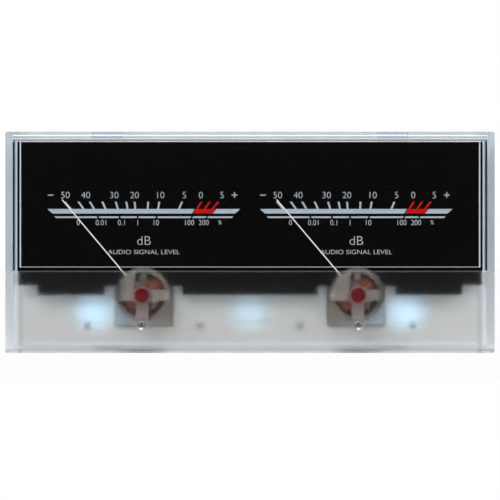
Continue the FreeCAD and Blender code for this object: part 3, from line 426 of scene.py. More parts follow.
def moulded(shader, tone, grain=0.16 * MM, gloss=0.38):
    """Moulded plastic with a fine grain and slow changes of shade."""
    flow = shader.noise(14 * MM, detail=3.0)
    fine = shader.noise(grain)
    shader.surface(
        Base_Color=shader.mix(flow, dimmed(tone, 0.93), tone),
        Roughness=gloss - 0.06 + flow * 0.08 + fine * 0.06,
        Normal=shader.bump(fine, 0.008 * MM, 0.6),
        Specular_IOR_Level=0.45,
    )


def white_plastic(shader):
    moulded(shader, settings("meter_case").white)


def socket_plastic(shader):
    moulded(shader, (0.11, 0.105, 0.10), 0.2 * MM, 0.42)


def white_panel(shader):
    """White panel, with painted shade towards its foot and the painted glow of the lamps spread
    over it.
    """
    tone = settings("meter_case").panel
    _, _, z = shader.axes()
    flow = shader.noise(14 * MM, detail=3.0)
    fine = shader.noise(0.3 * MM)
    # Painted shade: the panel turns greyer towards its foot
    height = ((z - 2 * MM) / (11 * MM) + (flow - 0.5) * 0.5).limited()
    shader.surface(
        Base_Color=shader.mix(height, dimmed(tone, 0.78), tone),
        Roughness=0.47 + fine * 0.06,
        Normal=shader.bump(fine, 0.008 * MM, 0.6),
        Specular_IOR_Level=0.4,
        **lamp_light(shader),
    )


def lamp_light(shader):
    """Painted pale blue glow of a surface round each lamp, less so round the middle one, and a
    faint painted glow that grows upwards above the lamps.
    """
    x, _, z = shader.axes()
    # Faint painted light growing upwards, lifting the shade under the dial plate
    painted_glow = ((z - 9 * MM) / (5 * MM)).limited() * 0.06
    for low, high in LAMPS:
        center = (low + high) / 2
        # Each glow lies a little nearer the middle than its lamp
        across = (x - center.x * 0.965) / (8.4 * MM)
        up = (z - center.z + 0.5 * MM) / (7.0 * MM)
        close = (1 - (across * across + up * up)).limited()
        painted_glow = painted_glow + close * close * (0.6 if abs(center.x) < MM else 1.0)
    tone = settings("meter_movement").lamp_blue
    return {"Emission_Color": shader.mix(painted_glow, (0, 0, 0), tone), "Emission_Strength": 0.68}


def blue_cap(shader):
    """Pale blue translucent cap, with the painted glow of its lamp."""
    cloud = shader.noise(2.5 * MM)
    shader.surface(
        Base_Color=shader.mix(cloud, (0.66, 0.66, 0.63), (0.66, 0.68, 0.68)),
        Roughness=0.4 + cloud * 0.1,
        Normal=shader.bump(cloud, 0.02 * MM, 0.4),
        **lamp_light(shader),
    )


def bulb_glass(shader):
    shader.surface(
        Base_Color=(0.95, 0.96, 0.97, 1.0),
        Roughness=0.02 + shader.noise(0.8 * MM) * 0.03,
        Transmission_Weight=0.9,
        IOR=1.5,
    )


def black_plate(shader):
    """Black satin paint on the dial plate, slightly uneven."""
    black = settings("meter_case").black
    cloud = shader.noise(17 * MM, detail=3.0)
    fine = shader.noise(0.12 * MM)
    shader.surface(
        Base_Color=shader.mix(cloud, black, dimmed(black, 1.9)),
        Roughness=0.42 + fine * 0.1,
        Specular_IOR_Level=0.06,
        Normal=shader.bump(fine, 0.003 * MM, 0.5),
    )


def printed(shader, name):
    """Screen-printed ink with a little grain."""
    tone = getattr(settings("meter_scale"), name)
    grain = shader.noise(0.11 * MM, detail=3.0)
    shader.surface(
        Base_Color=shader.mix(grain, dimmed(tone, 0.88), tone),
        Roughness=0.55 + grain * 0.1,
        Specular_IOR_Level=0.2,
        Normal=shader.bump(grain, 0.003 * MM, 0.5),
    )


def bar_ink(shader):
    printed(shader, "bar_ink")


def figure_ink(shader):
    printed(shader, "figure_ink")


def red_ink(shader):
    printed(shader, "red_ink")


def needle_paint(shader):
    """White paint on the blade of the pointer, with a faint painted glow; its root and arms stay
    bare and brown.
    """
    tone = settings("meter_movement").needle
    painted = from_pivot(shader) > 5.2 * MM
    grain = shader.noise(0.11 * MM, detail=3.0)
    shader.surface(
        Base_Color=shader.mix(painted, (0.30, 0.21, 0.16), tone),
        Roughness=0.5 + grain * 0.1,
        Specular_IOR_Level=0.2,
        # Painted glow: the white blade gives off a faint light
        Emission_Color=shader.mix(painted, (0, 0, 0), tone),
        Emission_Strength=0.2,
        Normal=shader.bump(grain, 0.003 * MM, 0.5),
    )


def red_lacquer(shader):
    """Transparent red lacquer over brass, with a painted highlight round the rim."""
    tone = settings("meter_movement").lacquer
    pool = shader.noise(1.1 * MM)
    # Painted highlight: a paler ring round the rim of the head
    rim = from_pivot(shader) > 2.06 * MM
    film = shader.mix(((pool - 0.35) * 3).limited(), dimmed(tone, 0.4), tone)
    shader.surface(
        Base_Color=shader.mix(rim, film, (0.55, 0.22, 0.20)),
        Roughness=0.24 + pool * 0.12,
        Metallic=0.15,
        Specular_IOR_Level=0.2,
        Coat_Weight=0.15,
        Coat_Roughness=0.08,
        Normal=shader.bump(pool, 0.02 * MM, 0.5),
    )


def board_laminate(shader):
    """Glass-cloth laminate with its weave just showing."""
    x, _, z = shader.axes()
    thread = 0.7 * MM
    weave = wave(x, thread) * wave(z, thread) * 0.5 + 0.5
    shader.surface(
        Base_Color=shader.mix(weave, (0.42, 0.33, 0.19), (0.48, 0.38, 0.22)),
        Roughness=0.3 + weave * 0.1,
        Normal=shader.bump(weave, 0.01 * MM, 0.4),
        Coat_Weight=0.3,
    )


# ---- metals


def metal(
    shader, tone, rough=0.3, marks=(1, 1, 1), size=0.35 * MM, depth=0.004 * MM, dull=0.8, painted_outer_shade=0
):
    """Metal with tool marks and a dulled film; painted shade can darken its outer side."""
    lines = shader.noise(size, shader.mapped(Scale=marks), detail=3.0)
    film = shader.noise(2.4 * MM, detail=4.0)
    base = shader.mix(film, dimmed(tone, dull), tone)
    if painted_outer_shade:
        # Painted shade: darker towards the outer side of the case
        outer_shade_mask = ((outward(shader) - 4.6 * MM) / (2.2 * MM)).limited() * painted_outer_shade
        base = shader.mix(outer_shade_mask, base, dimmed(tone, 0.2))
    shader.surface(
        Base_Color=base,
        Roughness=rough - 0.05 + film * 0.12 + lines * 0.08,
        Metallic=1.0,
        Normal=shader.bump(lines, depth, 0.6),
    )


def insert_brass(shader):
    metal(shader, (0.70, 0.47, 0.19), 0.3, (1, 12, 1))


# The cast frame and the bridges get painted shade on their outer side
def zinc_casting(shader):
    metal(shader, (0.37, 0.31, 0.265), 0.5, size=0.25 * MM, depth=0.012 * MM, painted_outer_shade=0.6)


def bridge_alloy(shader):
    metal(shader, (0.67, 0.58, 0.49), 0.36, (9, 1, 1), painted_outer_shade=0.8)


def plated_steel(shader):
    metal(shader, (0.62, 0.62, 0.61), 0.26)


def weight_brass(shader):
    metal(shader, (0.33, 0.23, 0.17), 0.7)


def former_aluminium(shader):
    metal(shader, (0.74, 0.75, 0.76), 0.32)


def spring_bronze(shader):
    metal(shader, (0.62, 0.38, 0.22), 0.25)


def tinned_metal(shader):
    metal(shader, (0.70, 0.70, 0.68), 0.32, size=0.6 * MM, depth=0.02 * MM, dull=0.85)


def magnet_alloy(shader):
    moulded(shader, (0.66, 0.49, 0.43), 0.25 * MM, 0.5)


def soft_iron(shader):
    """Iron, brown inside, with a painted blue-grey reflection of the lamp glow on its outer side,
    and paler at its foot.
    """
    across = outward(shader) / (6 * MM)
    film = shader.noise(2.4 * MM, detail=4.0)
    lines = shader.noise(0.3 * MM, shader.mapped(Scale=(1, 1, 9)), detail=3.0)
    # Painted reflection: the blue-grey of the lamp glow on the outer side
    painted_blue_reflection = (across * 0.5 + 0.35 + film * 0.3).limited()
    tone = shader.mix(painted_blue_reflection, (0.43, 0.37, 0.30), (0.60, 0.69, 0.78))
    _, _, z = shader.axes()
    # Paler towards its foot below the pivot
    pale_foot = ((8.6 * MM - z) / (1.6 * MM)).limited() * (1 - across * across * 1.3).limited()
    shader.surface(
        Base_Color=shader.mix(pale_foot * 0.5, tone, (0.95, 0.91, 0.87)),
        Roughness=0.38 + film * 0.14 + lines * 0.06,
        Metallic=1.0,
        Normal=shader.bump(lines, 0.008 * MM, 0.6),
    )


def lever_metal(shader):
    """Pale pressed metal, warmer near the pivot and brighter towards the fork."""
    film = shader.noise(1.6 * MM, detail=3.0)
    lines = shader.noise(0.3 * MM, shader.mapped(Scale=(1, 1, 9)), detail=3.0)
    fork = ((from_pivot(shader) - 3 * MM) / (5 * MM) + film * 0.2).limited()
    shader.surface(
        Base_Color=shader.mix(fork, (0.36, 0.25, 0.225), (0.53, 0.46, 0.43)),
        Roughness=0.4 + film * 0.1 + lines * 0.05,
        Metallic=1.0,
        Normal=shader.bump(lines, 0.006 * MM, 0.6),
    )


def copper_wire(shader):
    """Enamelled wire, wound in turns that lie side by side."""
    tone = settings("meter_movement").copper
    coil_tilt = math.radians(-40.2)
    _, _, across = shader.axes(shader.mapped(Rotation=(0, coil_tilt, 0)))
    wire = wave(across, 0.16 * MM) * 0.5 + 0.5
    shade = shader.noise(0.5 * MM)
    shader.surface(
        Base_Color=shader.mix((wire * 0.8 + shade * 0.3).limited(), dimmed(tone, 0.5), tone),
        Roughness=0.34 + shade * 0.1,
        Metallic=0.45,
        Coat_Weight=0.1,
        Normal=shader.bump(wire, 0.03 * MM, 0.8),
    )


# ---- modelling steps


def choose(*pieces):
    """Select these objects alone, the first one active."""
    bpy.ops.object.select_all(action="DESELECT")
    for piece in pieces:
        piece.select_set(True)
    bpy.context.view_layer.objects.active = pieces[0]


def edit(piece):
    choose(piece)
    bpy.ops.object.mode_set(mode="EDIT")
    bpy.ops.mesh.select_all(action="SELECT")


def leave():
    bpy.ops.object.mode_set(mode="OBJECT")


def select_where(test):
    """Select the vertices of the mesh in edit mode whose place passes a test."""
    bpy.ops.mesh.select_all(action="DESELECT")
    bpy.ops.mesh.select_mode(type="VERT")
    mesh = bmesh.from_edit_mesh(bpy.context.object.data)
    for vert in mesh.verts:
        vert.select = test(vert.co)
    mesh.select_flush(True)
    bmesh.update_edit_mesh(bpy.context.object.data)


def named(piece, name):
    piece.name = name
    piece.data.name = name
    return piece


def newest(name):
    """Name the object that an operator has just added, and settle its place in its mesh."""
    piece = named(bpy.context.object, name)
    choose(piece)
    bpy.ops.object.transform_apply(location=True, rotation=True, scale=True)
    return piece


def modify(piece, kind, **values):
    """Add a modifier, set it up and apply it."""
    choose(piece)
    modifier = piece.modifiers.new(kind.title(), kind)
    for name, value in values.items():
        setattr(modifier, name, value)
    bpy.ops.object.modifier_apply(modifier=modifier.name)


def combine(piece, operation, other):
    """Cut another piece out of this one, or unite them, and remove the other."""
    modify(piece, "BOOLEAN", operation=operation, object=other, solver="EXACT")
    bpy.data.objects.remove(other)


def rounded(piece, width, segments=2):
    """Round the sharp edges of a piece."""
    modify(
        piece,
        "BEVEL",
        width=width,
        segments=segments,
        limit_method="ANGLE",
        angle_limit=math.radians(40),
        use_clamp_overlap=True,
    )
    edit(piece)
    bpy.ops.mesh.dissolve_degenerate(threshold=MERGE)
    leave()
    return piece


def copy_of(node, name):
    """A piece of its own with a node's mesh, merged into clean flat faces."""
    piece = bpy.data.objects.new(name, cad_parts[node].data.copy())
    bpy.context.scene.collection.objects.link(piece)
    choose(piece)
    bpy.ops.mesh.customdata_custom_splitnormals_clear()
    edit(piece)
    bpy.ops.mesh.remove_doubles(threshold=MERGE)
    bpy.ops.mesh.dissolve_limited(angle_limit=math.radians(0.5))
    leave()
    return piece


def shifted(piece, name, offset):
    """A copy of a piece with its own mesh, moved by an offset."""
    twin = piece.copy()
    twin.data = piece.data.copy()
    twin.data.transform(Matrix.Translation(offset))
    bpy.context.scene.collection.objects.link(twin)
    return named(twin, name)


def joined(name, pieces):
    choose(*pieces)
    bpy.ops.object.join()
    return named(pieces[0], name)


def turned(name, center, profile, sides=32, ring=False):
    """A piece turned about Y: a circle drawn out through (distance, radius) pairs."""
    start, radius = profile[0]
    bpy.ops.mesh.primitive_circle_add(
        vertices=sides,
        radius=radius,
        fill_type="NOTHING" if ring else "NGON",
        location=center + Vector((0, start, 0)),
        rotation=(math.pi / 2, 0, 0),
    )
    piece = newest(name)
    edit(piece)
    for (here, before), (there, after) in zip(profile, profile[1:]):
        step = {"value": (0, there - here, 0)}
        bpy.ops.mesh.extrude_region_move(TRANSFORM_OT_translate=step)
        growth = after / before
        pole = center + Vector((0, there, 0))
        bpy.ops.transform.resize(value=(growth, 1, growth), center_override=pole)
    bpy.ops.mesh.select_all(action="SELECT")
    bpy.ops.mesh.remove_doubles(threshold=MERGE)
    bpy.ops.mesh.normals_make_consistent(inside=False)
    leave()
    return piece


def cutter(center, *size):
    """A box about its middle, for cutting recesses."""
    bpy.ops.mesh.primitive_cube_add(size=1, location=center, scale=size)
    return newest("cutter")


def paint(piece, maker):
    """Give a piece, or a CAD node that keeps its shape, its one material."""
    piece.data.materials.clear()
    piece.data.materials.append(finish(maker))


def dress(piece, maker, body, slot, *nodes, smooth=50):
    """Give a finished piece its material, its smoothing and the body it rides on."""
    choose(piece)
    bpy.ops.object.shade_smooth_by_angle(angle=math.radians(smooth))
    modify(piece, "WEIGHTED_NORMAL", keep_sharp=True, weight=100)
    paint(piece, maker)
    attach(piece, body)
    if nodes:
        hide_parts(*nodes)


def dressed_copy(node, maker, body, slot, edge, segments=2):
    """A node's own shape with rounded edges, in place of the node."""
    piece = rounded(copy_of(node, f"{node}_finished"), edge, segments)
    dress(piece, maker, body, slot, node)


# ---- case


class METER_OT_front_cover(bpy.types.Operator):
    """Clear cover with a polished window and a satin lower front"""

    bl_idname = "level_meter.front_cover"
    bl_label = "Front cover"

    def execute(self, context):
        cover = copy_of("front_cover", "front_cover_finished")
        edit(cover)
        # The rear end stands a seam off the flange
        select_where(lambda place: place.y > COVER_HIGH.y - MERGE)
        bpy.ops.transform.translate(value=(0, -SEAM, 0))
        leave()
        rounded(cover, context.scene.meter_case.cover_edge, 3)
        dress(cover, clear_acrylic, "case", "clear_acrylic", "front_cover")
        cover.visible_shadow = False
        return {"FINISHED"}


class METER_OT_rear_base(bpy.types.Operator):
    """White moulded base with all its posts"""

    bl_idname = "level_meter.rear_base"
    bl_label = "Rear base"

    def execute(self, context):
        edge = context.scene.meter_case.base_edge
        dressed_copy("rear_base", white_plastic, "case", "white_plastic", edge)
        return {"FINISHED"}


class METER_OT_panels(bpy.types.Operator):
    """Light panel, black dial plate and lamp board"""

    bl_idname = "level_meter.panels"
    bl_label = "Panels"

    def execute(self, context):
        dressed_copy("light_panel", white_panel, "case", "white_plastic", 0.12 * MM)
        dressed_copy("dial_plate", black_plate, "case", "black_plate", 0.08 * MM)
        dressed_copy("lamp_board", board_laminate, "case", "board_laminate", 0.06 * MM)
        return {"FINISHED"}


class METER_OT_inserts(bpy.types.Operator):
    """Grooved brass inserts with a threaded bore"""

    bl_idname = "level_meter.inserts"
    bl_label = "Mounting inserts"

    def execute(self, context):
        places = solid_places("mounting_inserts")
        low, high = places[0]
        outer = (high.x - low.x) / 2
        deep = high.y - low.y
        chamfer = 0.35 * MM
        pitch = 0.5 * MM
        minor, major = 1.25 * MM, 1.5 * MM
        groove, lip = outer - chamfer, chamfer / 3
        profile = [
            (0, groove), (chamfer, outer), (0.42 * deep, outer), (0.47 * deep, groove),
            (0.55 * deep, groove), (0.6 * deep, outer), (deep - lip, outer),
            (deep, outer - lip), (deep, major + 0.1 * MM),
        ]
        for turn in range(int((deep - pitch) / pitch)):
            top = deep - 0.2 * MM - turn * pitch
            profile += [(top, minor), (top - pitch / 2, major)]
        profile += [(0, minor), profile[0]]
        first = turned("insert", on_axis(low, high, low.y), profile, sides=40, ring=True)
        pieces = [first] + [shifted(first, "insert", other - low) for other, _ in places[1:]]
        inserts = joined("mounting_inserts_finished", pieces)
        dress(inserts, insert_brass, "case", "brass_insert", "mounting_inserts", smooth=20)
        return {"FINISHED"}


# ---- printed scales

# Figures with their place beside the pivot, in mm
UPPER_FIGURES = (
    ("50", -21.9), ("40", -16.2), ("30", -8.3), ("20", -2.6),
    ("10", 4.5), ("5", 11.3), ("0", 15.9), ("5", 21.8),
)
LOWER_FIGURES = (
    ("0", -18.3), ("0.01", -11.8), ("0.1", -6.1), ("1", -1.7),
    ("10", 3.3), ("100", 12.6), ("200", 16.7),
)
SIGNS = (("-", -26.0), ("+", 25.3))
SIGN_ARM = (1.6 * MM, 0.22 * MM)  # length and width

# Ticks, and gaps in the thin bar, in degrees from upright
LIGHT_TICKS = (-40.4, -35.05, -30.1, -24.0, -16.8, -10.7, -5.65, 2.65, 9.45, 22.3)
RED_TICKS = (31.8, 35.35, 38.7)
THIN_BREAKS = (-30.5, -17.3, -4.5, 9.4, 31.7, 39.1)


def flat_quad(name, center, wide, high):
    """A flat quad in the plane of the dial."""
    bpy.ops.mesh.primitive_plane_add(size=1, location=center, rotation=(math.pi / 2, 0, 0))
    bpy.context.object.scale = (wide, high, 1)
    return newest(name)


def radial_quad(hub, low, high, start, end):
    """A flat quad between two heights above the pivot, its ends in line with the pivot."""
    level = (low + high) / 2
    left, right = level * math.tan(start), level * math.tan(end)
    center = hub + Vector(((left + right) / 2, 0, level))
    quad = flat_quad("quad", center, right - left, high - low)
    edit(quad)
    for height in (low, high):
        select_where(lambda place: abs(place.z - hub.z - height) < MERGE)
        bpy.ops.transform.resize(value=(height / level, 1, 1), center_override=hub)
    leave()
    return quad


def printed_text(words, center, height, squeeze=1.0, weight=0.0, width=None):
    """Words made a flat mesh of a given height, facing the viewer."""
    bpy.ops.object.text_add()
    text = bpy.context.object
    text.data.body = words
    text.data.align_x = "CENTER"
    text.data.offset = weight
    choose(text)
    bpy.ops.object.convert(target="MESH")
    piece = newest("figure")
    ups = [vert.co.y for vert in piece.data.vertices]
    scale = height / (max(ups) - min(ups))
    if width:
        squeeze = width / piece.dimensions.x / scale
    for step in (
        Matrix.Translation((0, -(max(ups) + min(ups)) / 2, 0)),
        Matrix.Diagonal((scale * squeeze, scale, scale, 1)),
        Matrix.Rotation(math.pi / 2, 4, "X"),
        Matrix.Translation(center),
    ):
        piece.data.transform(step)
    edit(piece)
    bpy.ops.mesh.remove_doubles(threshold=2 * MERGE)
    bpy.ops.mesh.dissolve_degenerate(threshold=2 * MERGE)
    leave()
    return piece


class METER_OT_scales(bpy.types.Operator):
    """Both printed scales: bars, ticks, figures and unit"""

    bl_idname = "level_meter.scales"
    bl_label = "Printed scales"

    def execute(self, context):
        scale = context.scene.meter_scale
        inset = Vector((0.18 * MM, 0, 0))
        hub = pivot("left") + inset
        step = pivot("right") - inset - hub
        bars = self.bars(scale, hub) + self.ticks(scale, hub, LIGHT_TICKS)
        red = self.ticks(scale, hub, RED_TICKS)
        red.append(radial_quad(hub, scale.bar_low, scale.bar_high, scale.red_start, scale.red_end))
        figures = self.figures(scale, hub)
        for name, pieces, maker in (
            ("scale", bars, bar_ink),
            ("overload", red, red_ink),
            ("figures", figures, figure_ink),
        ):
            left = joined(f"left_{name}_print", pieces)
            modify(left, "SOLIDIFY", thickness=scale.ink, offset=1)
            dress(left, maker, "case", "black_plate")
            right = shifted(left, f"right_{name}_print", step)
            dress(right, maker, "case", "black_plate")
        return {"FINISHED"}

    @staticmethod
    def bars(scale, hub):
        slit = math.radians(0.5)
        low, high = scale.bar_low, scale.bar_high
        bars = [
            radial_quad(hub, low, high, -scale.bar_end, scale.red_start - slit),
            radial_quad(hub, low, high, scale.red_end + slit / 2, scale.bar_end),
        ]
        low, high = scale.thin_low, scale.thin_high
        edges = [-scale.thin_end]
        for place in map(math.radians, THIN_BREAKS):
            half = scale.thin_gap / (low + high) * math.cos(place) ** 2
            edges += [place - half, place + half]
        edges.append(scale.thin_end)
        for start, end in zip(edges[::2], edges[1::2]):
            bars.append(radial_quad(hub, low, high, start, end))
        return bars

    @staticmethod
    def ticks(scale, hub, angles):
        low, high = scale.bar_high, scale.tick_high
        ticks = []
        for turn in map(math.radians, angles):
            half = scale.tick_width / (low + high) * math.cos(turn)
            ticks.append(radial_quad(hub, low, high, turn - half, turn + half))
        return ticks

    @staticmethod
    def figures(scale, hub):
        pieces = []

        def add(words, x, z, height, **form):
            pieces.append(printed_text(words, hub + Vector((x * MM, 0, z)), height, **form))

        for words, x in UPPER_FIGURES:
            add(words, x, scale.upper_figures, scale.upper_size, weight=-0.018)
        for words, x in LOWER_FIGURES:
            add(words, x, scale.lower_figures, scale.lower_size, squeeze=0.92, weight=-0.014)
        for sign, x in SIGNS:
            center = hub + Vector((x * MM, 0, scale.upper_figures))
            pieces.append(flat_quad("sign", center, *SIGN_ARM))
            if sign == "+":
                pieces.append(flat_quad("sign", center, *reversed(SIGN_ARM)))
        add("%", 21.2, 20.2 * MM, 1.1 * MM, squeeze=0.85)
        add("dB", 0, 15.15 * MM, 2.35 * MM, squeeze=1.05, weight=-0.022)
        add("AUDIO SIGNAL LEVEL", 0, 11.95 * MM, 1.2 * MM, weight=-0.014, width=20.0 * MM)
        return pieces


# ---- movements


class METER_OT_movement_bodies(bpy.types.Operator):
    """Cast frames, yokes, magnets, plates, bridges and levers"""

    bl_idname = "level_meter.movement_bodies"
    bl_label = "Movement bodies"

    def execute(self, context):
        movement = context.scene.meter_movement
        small, cast = movement.small_edge, movement.cast_edge
        for side in CHANNELS:
            for node, maker, slot, edge in (
                ("movement_frame", zinc_casting, "cast_grey", cast),
                ("movement_yoke", soft_iron, "soft_iron", cast),
                ("core_magnet", magnet_alloy, "magnet", cast),
                ("mounting_plate", plated_steel, "steel", small),
                ("front_bridge", bridge_alloy, "bridge_alloy", 2 * small),
                ("rear_bridge", bridge_alloy, "bridge_alloy", 2 * small),
                ("yoke_rivets", soft_iron, "steel", 2 * small),
                ("stop_pins", plated_steel, "steel", small),
            ):
                dressed_copy(f"{side}_{node}", maker, "case", slot, edge)
            dressed_copy(f"{side}_zero_lever", lever_metal, f"{side}_lever", "lever_brass", small)
        return {"FINISHED"}


class METER_OT_moving_coils(bpy.types.Operator):
    """Pointers, coils, staffs, weights and hairsprings"""

    bl_idname = "level_meter.moving_coils"
    bl_label = "Moving coils"

    def execute(self, context):
        for side in CHANNELS:
            body = f"{side}_moving_coil"
            for node, maker, slot, edge in (
                ("pointer", needle_paint, "white_aluminium", 0.04 * MM),
                ("balance_weights", weight_brass, "brass_screw", 0.08 * MM),
                ("coil_former", former_aluminium, "former_aluminium", 0.05 * MM),
                ("coil_winding", copper_wire, "copper_wire", 0.18 * MM),
                ("pivot_staffs", plated_steel, "steel", 0.05 * MM),
            ):
                dressed_copy(f"{side}_{node}", maker, body, slot, edge)
            for place in ("front", "rear"):
                paint(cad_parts[f"{side}_{place}_hairspring"], spring_bronze)
        return {"FINISHED"}


# ---- screws


def screw_profile(head_radius, head, shank_radius, reach, pitch):
    """Domed head and a threaded shank, from the crown of the head to the tip."""
    crown, shoulder, brim = 0.45 * head_radius, 0.72 * head_radius, 0.94 * head_radius
    core = 0.82 * shank_radius
    profile = [
        (0, crown), (0.12 * head, shoulder), (0.4 * head, brim), (0.7 * head, head_radius),
        (head, head_radius), (head, shank_radius),
    ]
    for turn in range(int((reach - 1.5 * shank_radius) / pitch)):
        top = head + 0.3 * shank_radius + turn * pitch
        profile += [(top + 0.2 * pitch, core), (top + 0.7 * pitch, shank_radius)]
    profile.append((head + reach - 0.5 * shank_radius, core))
    profile.append((head + reach, 0.3 * shank_radius))
    return profile


def screw(name, center, profile, recess, behind=False):
    """A turned screw with a recess in its head; behind turns the head to the rear."""
    piece = turned(name, center, profile, sides=24)
    radius = max(radius for _, radius in profile)
    through = 0.7 * radius  # half of it lies in the head
    if recess == "cross":
        wide, slot = 1.15 * radius, 0.28 * radius
        tool = cutter(center, wide, through, slot)
        combine(tool, "UNION", cutter(center, slot, through, wide))
    else:
        tool = cutter(center, 2.4 * radius, through, 0.3 * radius)
    combine(piece, "DIFFERENCE", tool)
    if behind:
        flip = Matrix.Translation(center) @ Matrix.Rotation(math.pi, 4, "Z")
        piece.data.transform(flip @ Matrix.Translation(-center))
    return piece


class METER_OT_screws(bpy.types.Operator):
    """Cross-head screws of the panel, the lamp board and the movements"""

    bl_idname = "level_meter.screws"
    bl_label = "Screws"

    def execute(self, context):
        for node, shank in (
            ("panel_screws", 0.6 * MM),
            ("board_screws", 0.8 * MM),
            ("left_movement_screws", 0.9 * MM),
            ("right_movement_screws", 0.9 * MM),
        ):
            self.cross_head_screws(node, shank)
        for side in CHANNELS:
            self.bridge_screws(f"{side}_bridge_screws")
        return {"FINISHED"}

    @staticmethod
    def cross_head_screws(node, shank):
        """The screws of one node, all alike, with their heads in front."""
        head, pitch = 0.7 * MM, 0.4 * MM
        places = solid_places(node)
        low, high = places[0]
        reach = high.y - low.y - head
        profile = screw_profile((high.x - low.x) / 2, head, shank, reach, pitch)
        first = screw("screw", on_axis(low, high, low.y), profile, "cross")
        pieces = [first] + [shifted(first, "screw", other - low) for other, _ in places[1:]]
        dress(joined(f"{node}_finished", pieces), plated_steel, "case", "steel", node)

    @staticmethod
    def bridge_screws(node):
        """Slotted screws; those of the rear bridge have their heads behind."""
        radius, shank, head, pitch = 0.6 * MM, 0.35 * MM, 0.45 * MM, 0.25 * MM
        pieces = []
        for low, high in solid_places(node):
            in_front = low.y < -5 * MM
            reach = high.y - low.y - head
            profile = screw_profile(radius, head, shank, reach, pitch)
            center = on_axis(low, high, low.y if in_front else high.y)
            pieces.append(screw("bridge_screw", center, profile, "slot", behind=not in_front))
        dress(joined(f"{node}_finished", pieces), bridge_alloy, "case", "bridge_alloy", node)


class METER_OT_jewel_screws(bpy.types.Operator):
    """Red jewel screws in front, brass ones behind"""

    bl_idname = "level_meter.jewel_screws"
    bl_label = "Jewel screws"

    def execute(self, context):
        edge = context.scene.meter_movement.cast_edge
        for side in CHANNELS:
            dressed_copy(f"{side}_front_jewel_screw", red_lacquer, "case", "red_lacquer", edge)
            dressed_copy(f"{side}_rear_jewel_screw", weight_brass, "case", "brass_screw", edge)
        return {"FINISHED"}


# Depth and radius of a zero screw's head, neck and collar, in mm
ZERO_SCREW = (
    (0, 0.30), (0.04, 0.62), (0.14, 0.90), (0.28, 1.08), (0.46, 1.19), (0.60, 1.20),
    (0.60, 0.80), (2.00, 0.80), (2.00, 1.22), (2.08, 1.30), (2.32, 1.30), (2.40, 1.22),
)


class METER_OT_zero_screws(bpy.types.Operator):
    """Clear slotted zero screws in the lower front"""

    bl_idname = "level_meter.zero_screws"
    bl_label = "Zero screws"

    def execute(self, context):
        profile = [(depth * MM, radius * MM) for depth, radius in ZERO_SCREW]
        for side in CHANNELS:
            node = f"{side}_zero_screw"
            low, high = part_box(node)
            axis = on_axis(low, high, low.y)
            piece = turned(f"{node}_finished", axis, profile, sides=48)
            slot = cutter(axis, 2.6 * MM, 0.6 * MM, 0.4 * MM)
            combine(piece, "DIFFERENCE", slot)
            start, throw = 2.3 * MM, 0.6 * MM
            reach = high.y - low.y - start
            rod = [(0, 0.4 * MM), (reach - 0.06 * MM, 0.4 * MM), (reach, 0.34 * MM)]
            pin = turned("pin", axis + Vector((0, start, throw)), rod, sides=20)
            combine(piece, "UNION", pin)
            rounded(piece, 0.03 * MM)
            dress(piece, clear_plastic, f"{side}_zero_adjuster", "clear_plastic", node)
        return {"FINISHED"}


# ---- lamps and terminals


class METER_OT_lamps(bpy.types.Operator):
    """Lamp caps, bulbs and sockets"""

    bl_idname = "level_meter.lamps"
    bl_label = "Lamps"

    def execute(self, context):
        dressed_copy("lamp_caps", blue_cap, "case", "blue_cap", 0.3 * MM, 3)
        dressed_copy("lamp_sockets", socket_plastic, "case", "socket_plastic", 0.12 * MM)
        dressed_copy("lamp_bulbs", bulb_glass, "case", "bulb_glass", 0.05 * MM)
        return {"FINISHED"}


class METER_OT_terminals(bpy.types.Operator):
    """Tinned solder tags"""

    bl_idname = "level_meter.terminals"
    bl_label = "Solder tags"

    def execute(self, context):
        for node in ("lamp_tags", "left_terminal_tags", "right_terminal_tags"):
            dressed_copy(node, tinned_metal, "case", "tinned_brass", 0.05 * MM)
        return {"FINISHED"}


# ---- stage


def pale_floor(shader):
    """Matt floor that keeps shadows and looks nearly white."""
    seen = (shader.ray("Camera") + shader.ray("Transmission") + shader.ray("Glossy")).limited()
    mottle = shader.noise(0.3)
    tone = shader.mix(mottle, (0.86, 0.87, 0.88), (0.9, 0.9, 0.9))
    matt = shader.add("ShaderNodeBsdfDiffuse", values={"Color": tone})
    white = shader.add("ShaderNodeEmission")
    glow = seen * settings("meter_stage").floor_glow
    both = shader.add("ShaderNodeMixShader", values={0: glow, 1: matt, 2: white})
    shader.add("ShaderNodeOutputMaterial", values={"Surface": both})


def lamp(name, place, aim, size, power):
    """A square soft light aimed at a point."""
    bpy.ops.object.light_add(type="AREA", location=place)
    light = bpy.context.object
    light.name = name
    light.rotation_euler = (Vector(aim) - Vector(place)).to_track_quat("-Z", "Y").to_euler()
    light.data.shape = "SQUARE"
    light.data.size = size
    light.data.energy = power


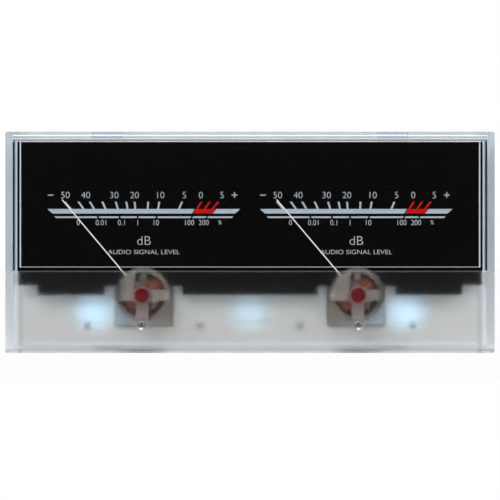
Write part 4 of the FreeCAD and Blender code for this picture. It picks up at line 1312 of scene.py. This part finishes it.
class METER_OT_stage(bpy.types.Operator):
    """Camera, soft lights, pale floor and white surroundings"""

    bl_idname = "level_meter.stage"
    bl_label = "Stage"

    def execute(self, context):
        self.camera(context)
        self.floor()
        self.world(context)
        target = (0, 0, 30 * MM)
        lamp("key", (-0.55, -0.65, 0.95), target, 0.7, 5.8)
        lamp("fill", (0.75, -0.55, 0.55), target, 0.7, 2.7)
        lamp("rear", (0.1, 0.8, 0.8), target, 0.6, 3.0)
        context.scene.view_settings.view_transform = "Standard"
        return {"FINISHED"}

    @staticmethod
    def camera(context):
        stage = context.scene.meter_stage
        bpy.ops.object.camera_add(rotation=(math.pi / 2, 0, 0))
        camera = context.object
        camera.location = (0, LEDGE_Y - stage.eye_distance, stage.eye_height)
        camera.data.lens = camera.data.sensor_width * stage.eye_distance / stage.view_width
        camera.data.clip_start = 0.01
        context.scene.camera = camera

    @staticmethod
    def floor():
        bpy.ops.mesh.primitive_plane_add(size=1, location=(0, 0.905, 0))
        bpy.context.object.scale = (3.2, 1.99, 1)
        floor = newest("floor")
        paint(floor, pale_floor)

    @staticmethod
    def world(context):
        """White, but dark behind the viewer to clear the window, and grey beside to draw edges."""
        world = bpy.data.worlds.new("studio")
        world.use_nodes = True
        context.scene.world = world
        shader = Shader(world.node_tree)
        x, y, _ = shader.axes(shader.add("ShaderNodeTexCoord", output="Generated"))
        behind_viewer = ((y * -1 - 0.62) / 0.2).limited()
        beside = ((abs(x) - 0.8) / 0.12).limited()
        camera = shader.ray("Camera")
        seen = (shader.ray("Glossy") + shader.ray("Transmission")).limited()
        light = (0.3 + seen * 0.65) * (1 - behind_viewer * 0.98) * (1 - beside * 0.75)
        values = {"Color": (1, 1, 1, 1), "Strength": camera + (1 - camera) * light}
        back = shader.add("ShaderNodeBackground", values=values)
        shader.add("ShaderNodeOutputWorld", values={"Surface": back})


OPERATORS = (
    METER_OT_stage,
    METER_OT_front_cover,
    METER_OT_rear_base,
    METER_OT_panels,
    METER_OT_inserts,
    METER_OT_scales,
    METER_OT_movement_bodies,
    METER_OT_moving_coils,
    METER_OT_screws,
    METER_OT_jewel_screws,
    METER_OT_zero_screws,
    METER_OT_lamps,
    METER_OT_terminals,
)


class METER_PT_build(bpy.types.Panel):
    """Lists the steps that build the meter"""

    bl_idname = "METER_PT_build"
    bl_label = "Level Meter"
    bl_space_type = "VIEW_3D"
    bl_region_type = "UI"
    bl_category = "Level Meter"

    def draw(self, context):
        for operator in OPERATORS:
            self.layout.operator(operator.bl_idname)


def register():
    for name, group in SETTINGS.items():
        bpy.utils.register_class(group)
        setattr(bpy.types.Scene, name, bpy.props.PointerProperty(type=group))
    for kind in (*OPERATORS, METER_PT_build):
        bpy.utils.register_class(kind)


def unregister():
    for kind in reversed((*OPERATORS, METER_PT_build)):
        bpy.utils.unregister_class(kind)
    for name, group in reversed(SETTINGS.items()):
        delattr(bpy.types.Scene, name)
        bpy.utils.unregister_class(group)


def main():
    register()
    bpy.ops.object.select_all(action="DESELECT")
    for operator in OPERATORS:
        group, name = operator.bl_idname.split(".")
        getattr(getattr(bpy.ops, group), name)()


if __name__ == "__main__":
    main()
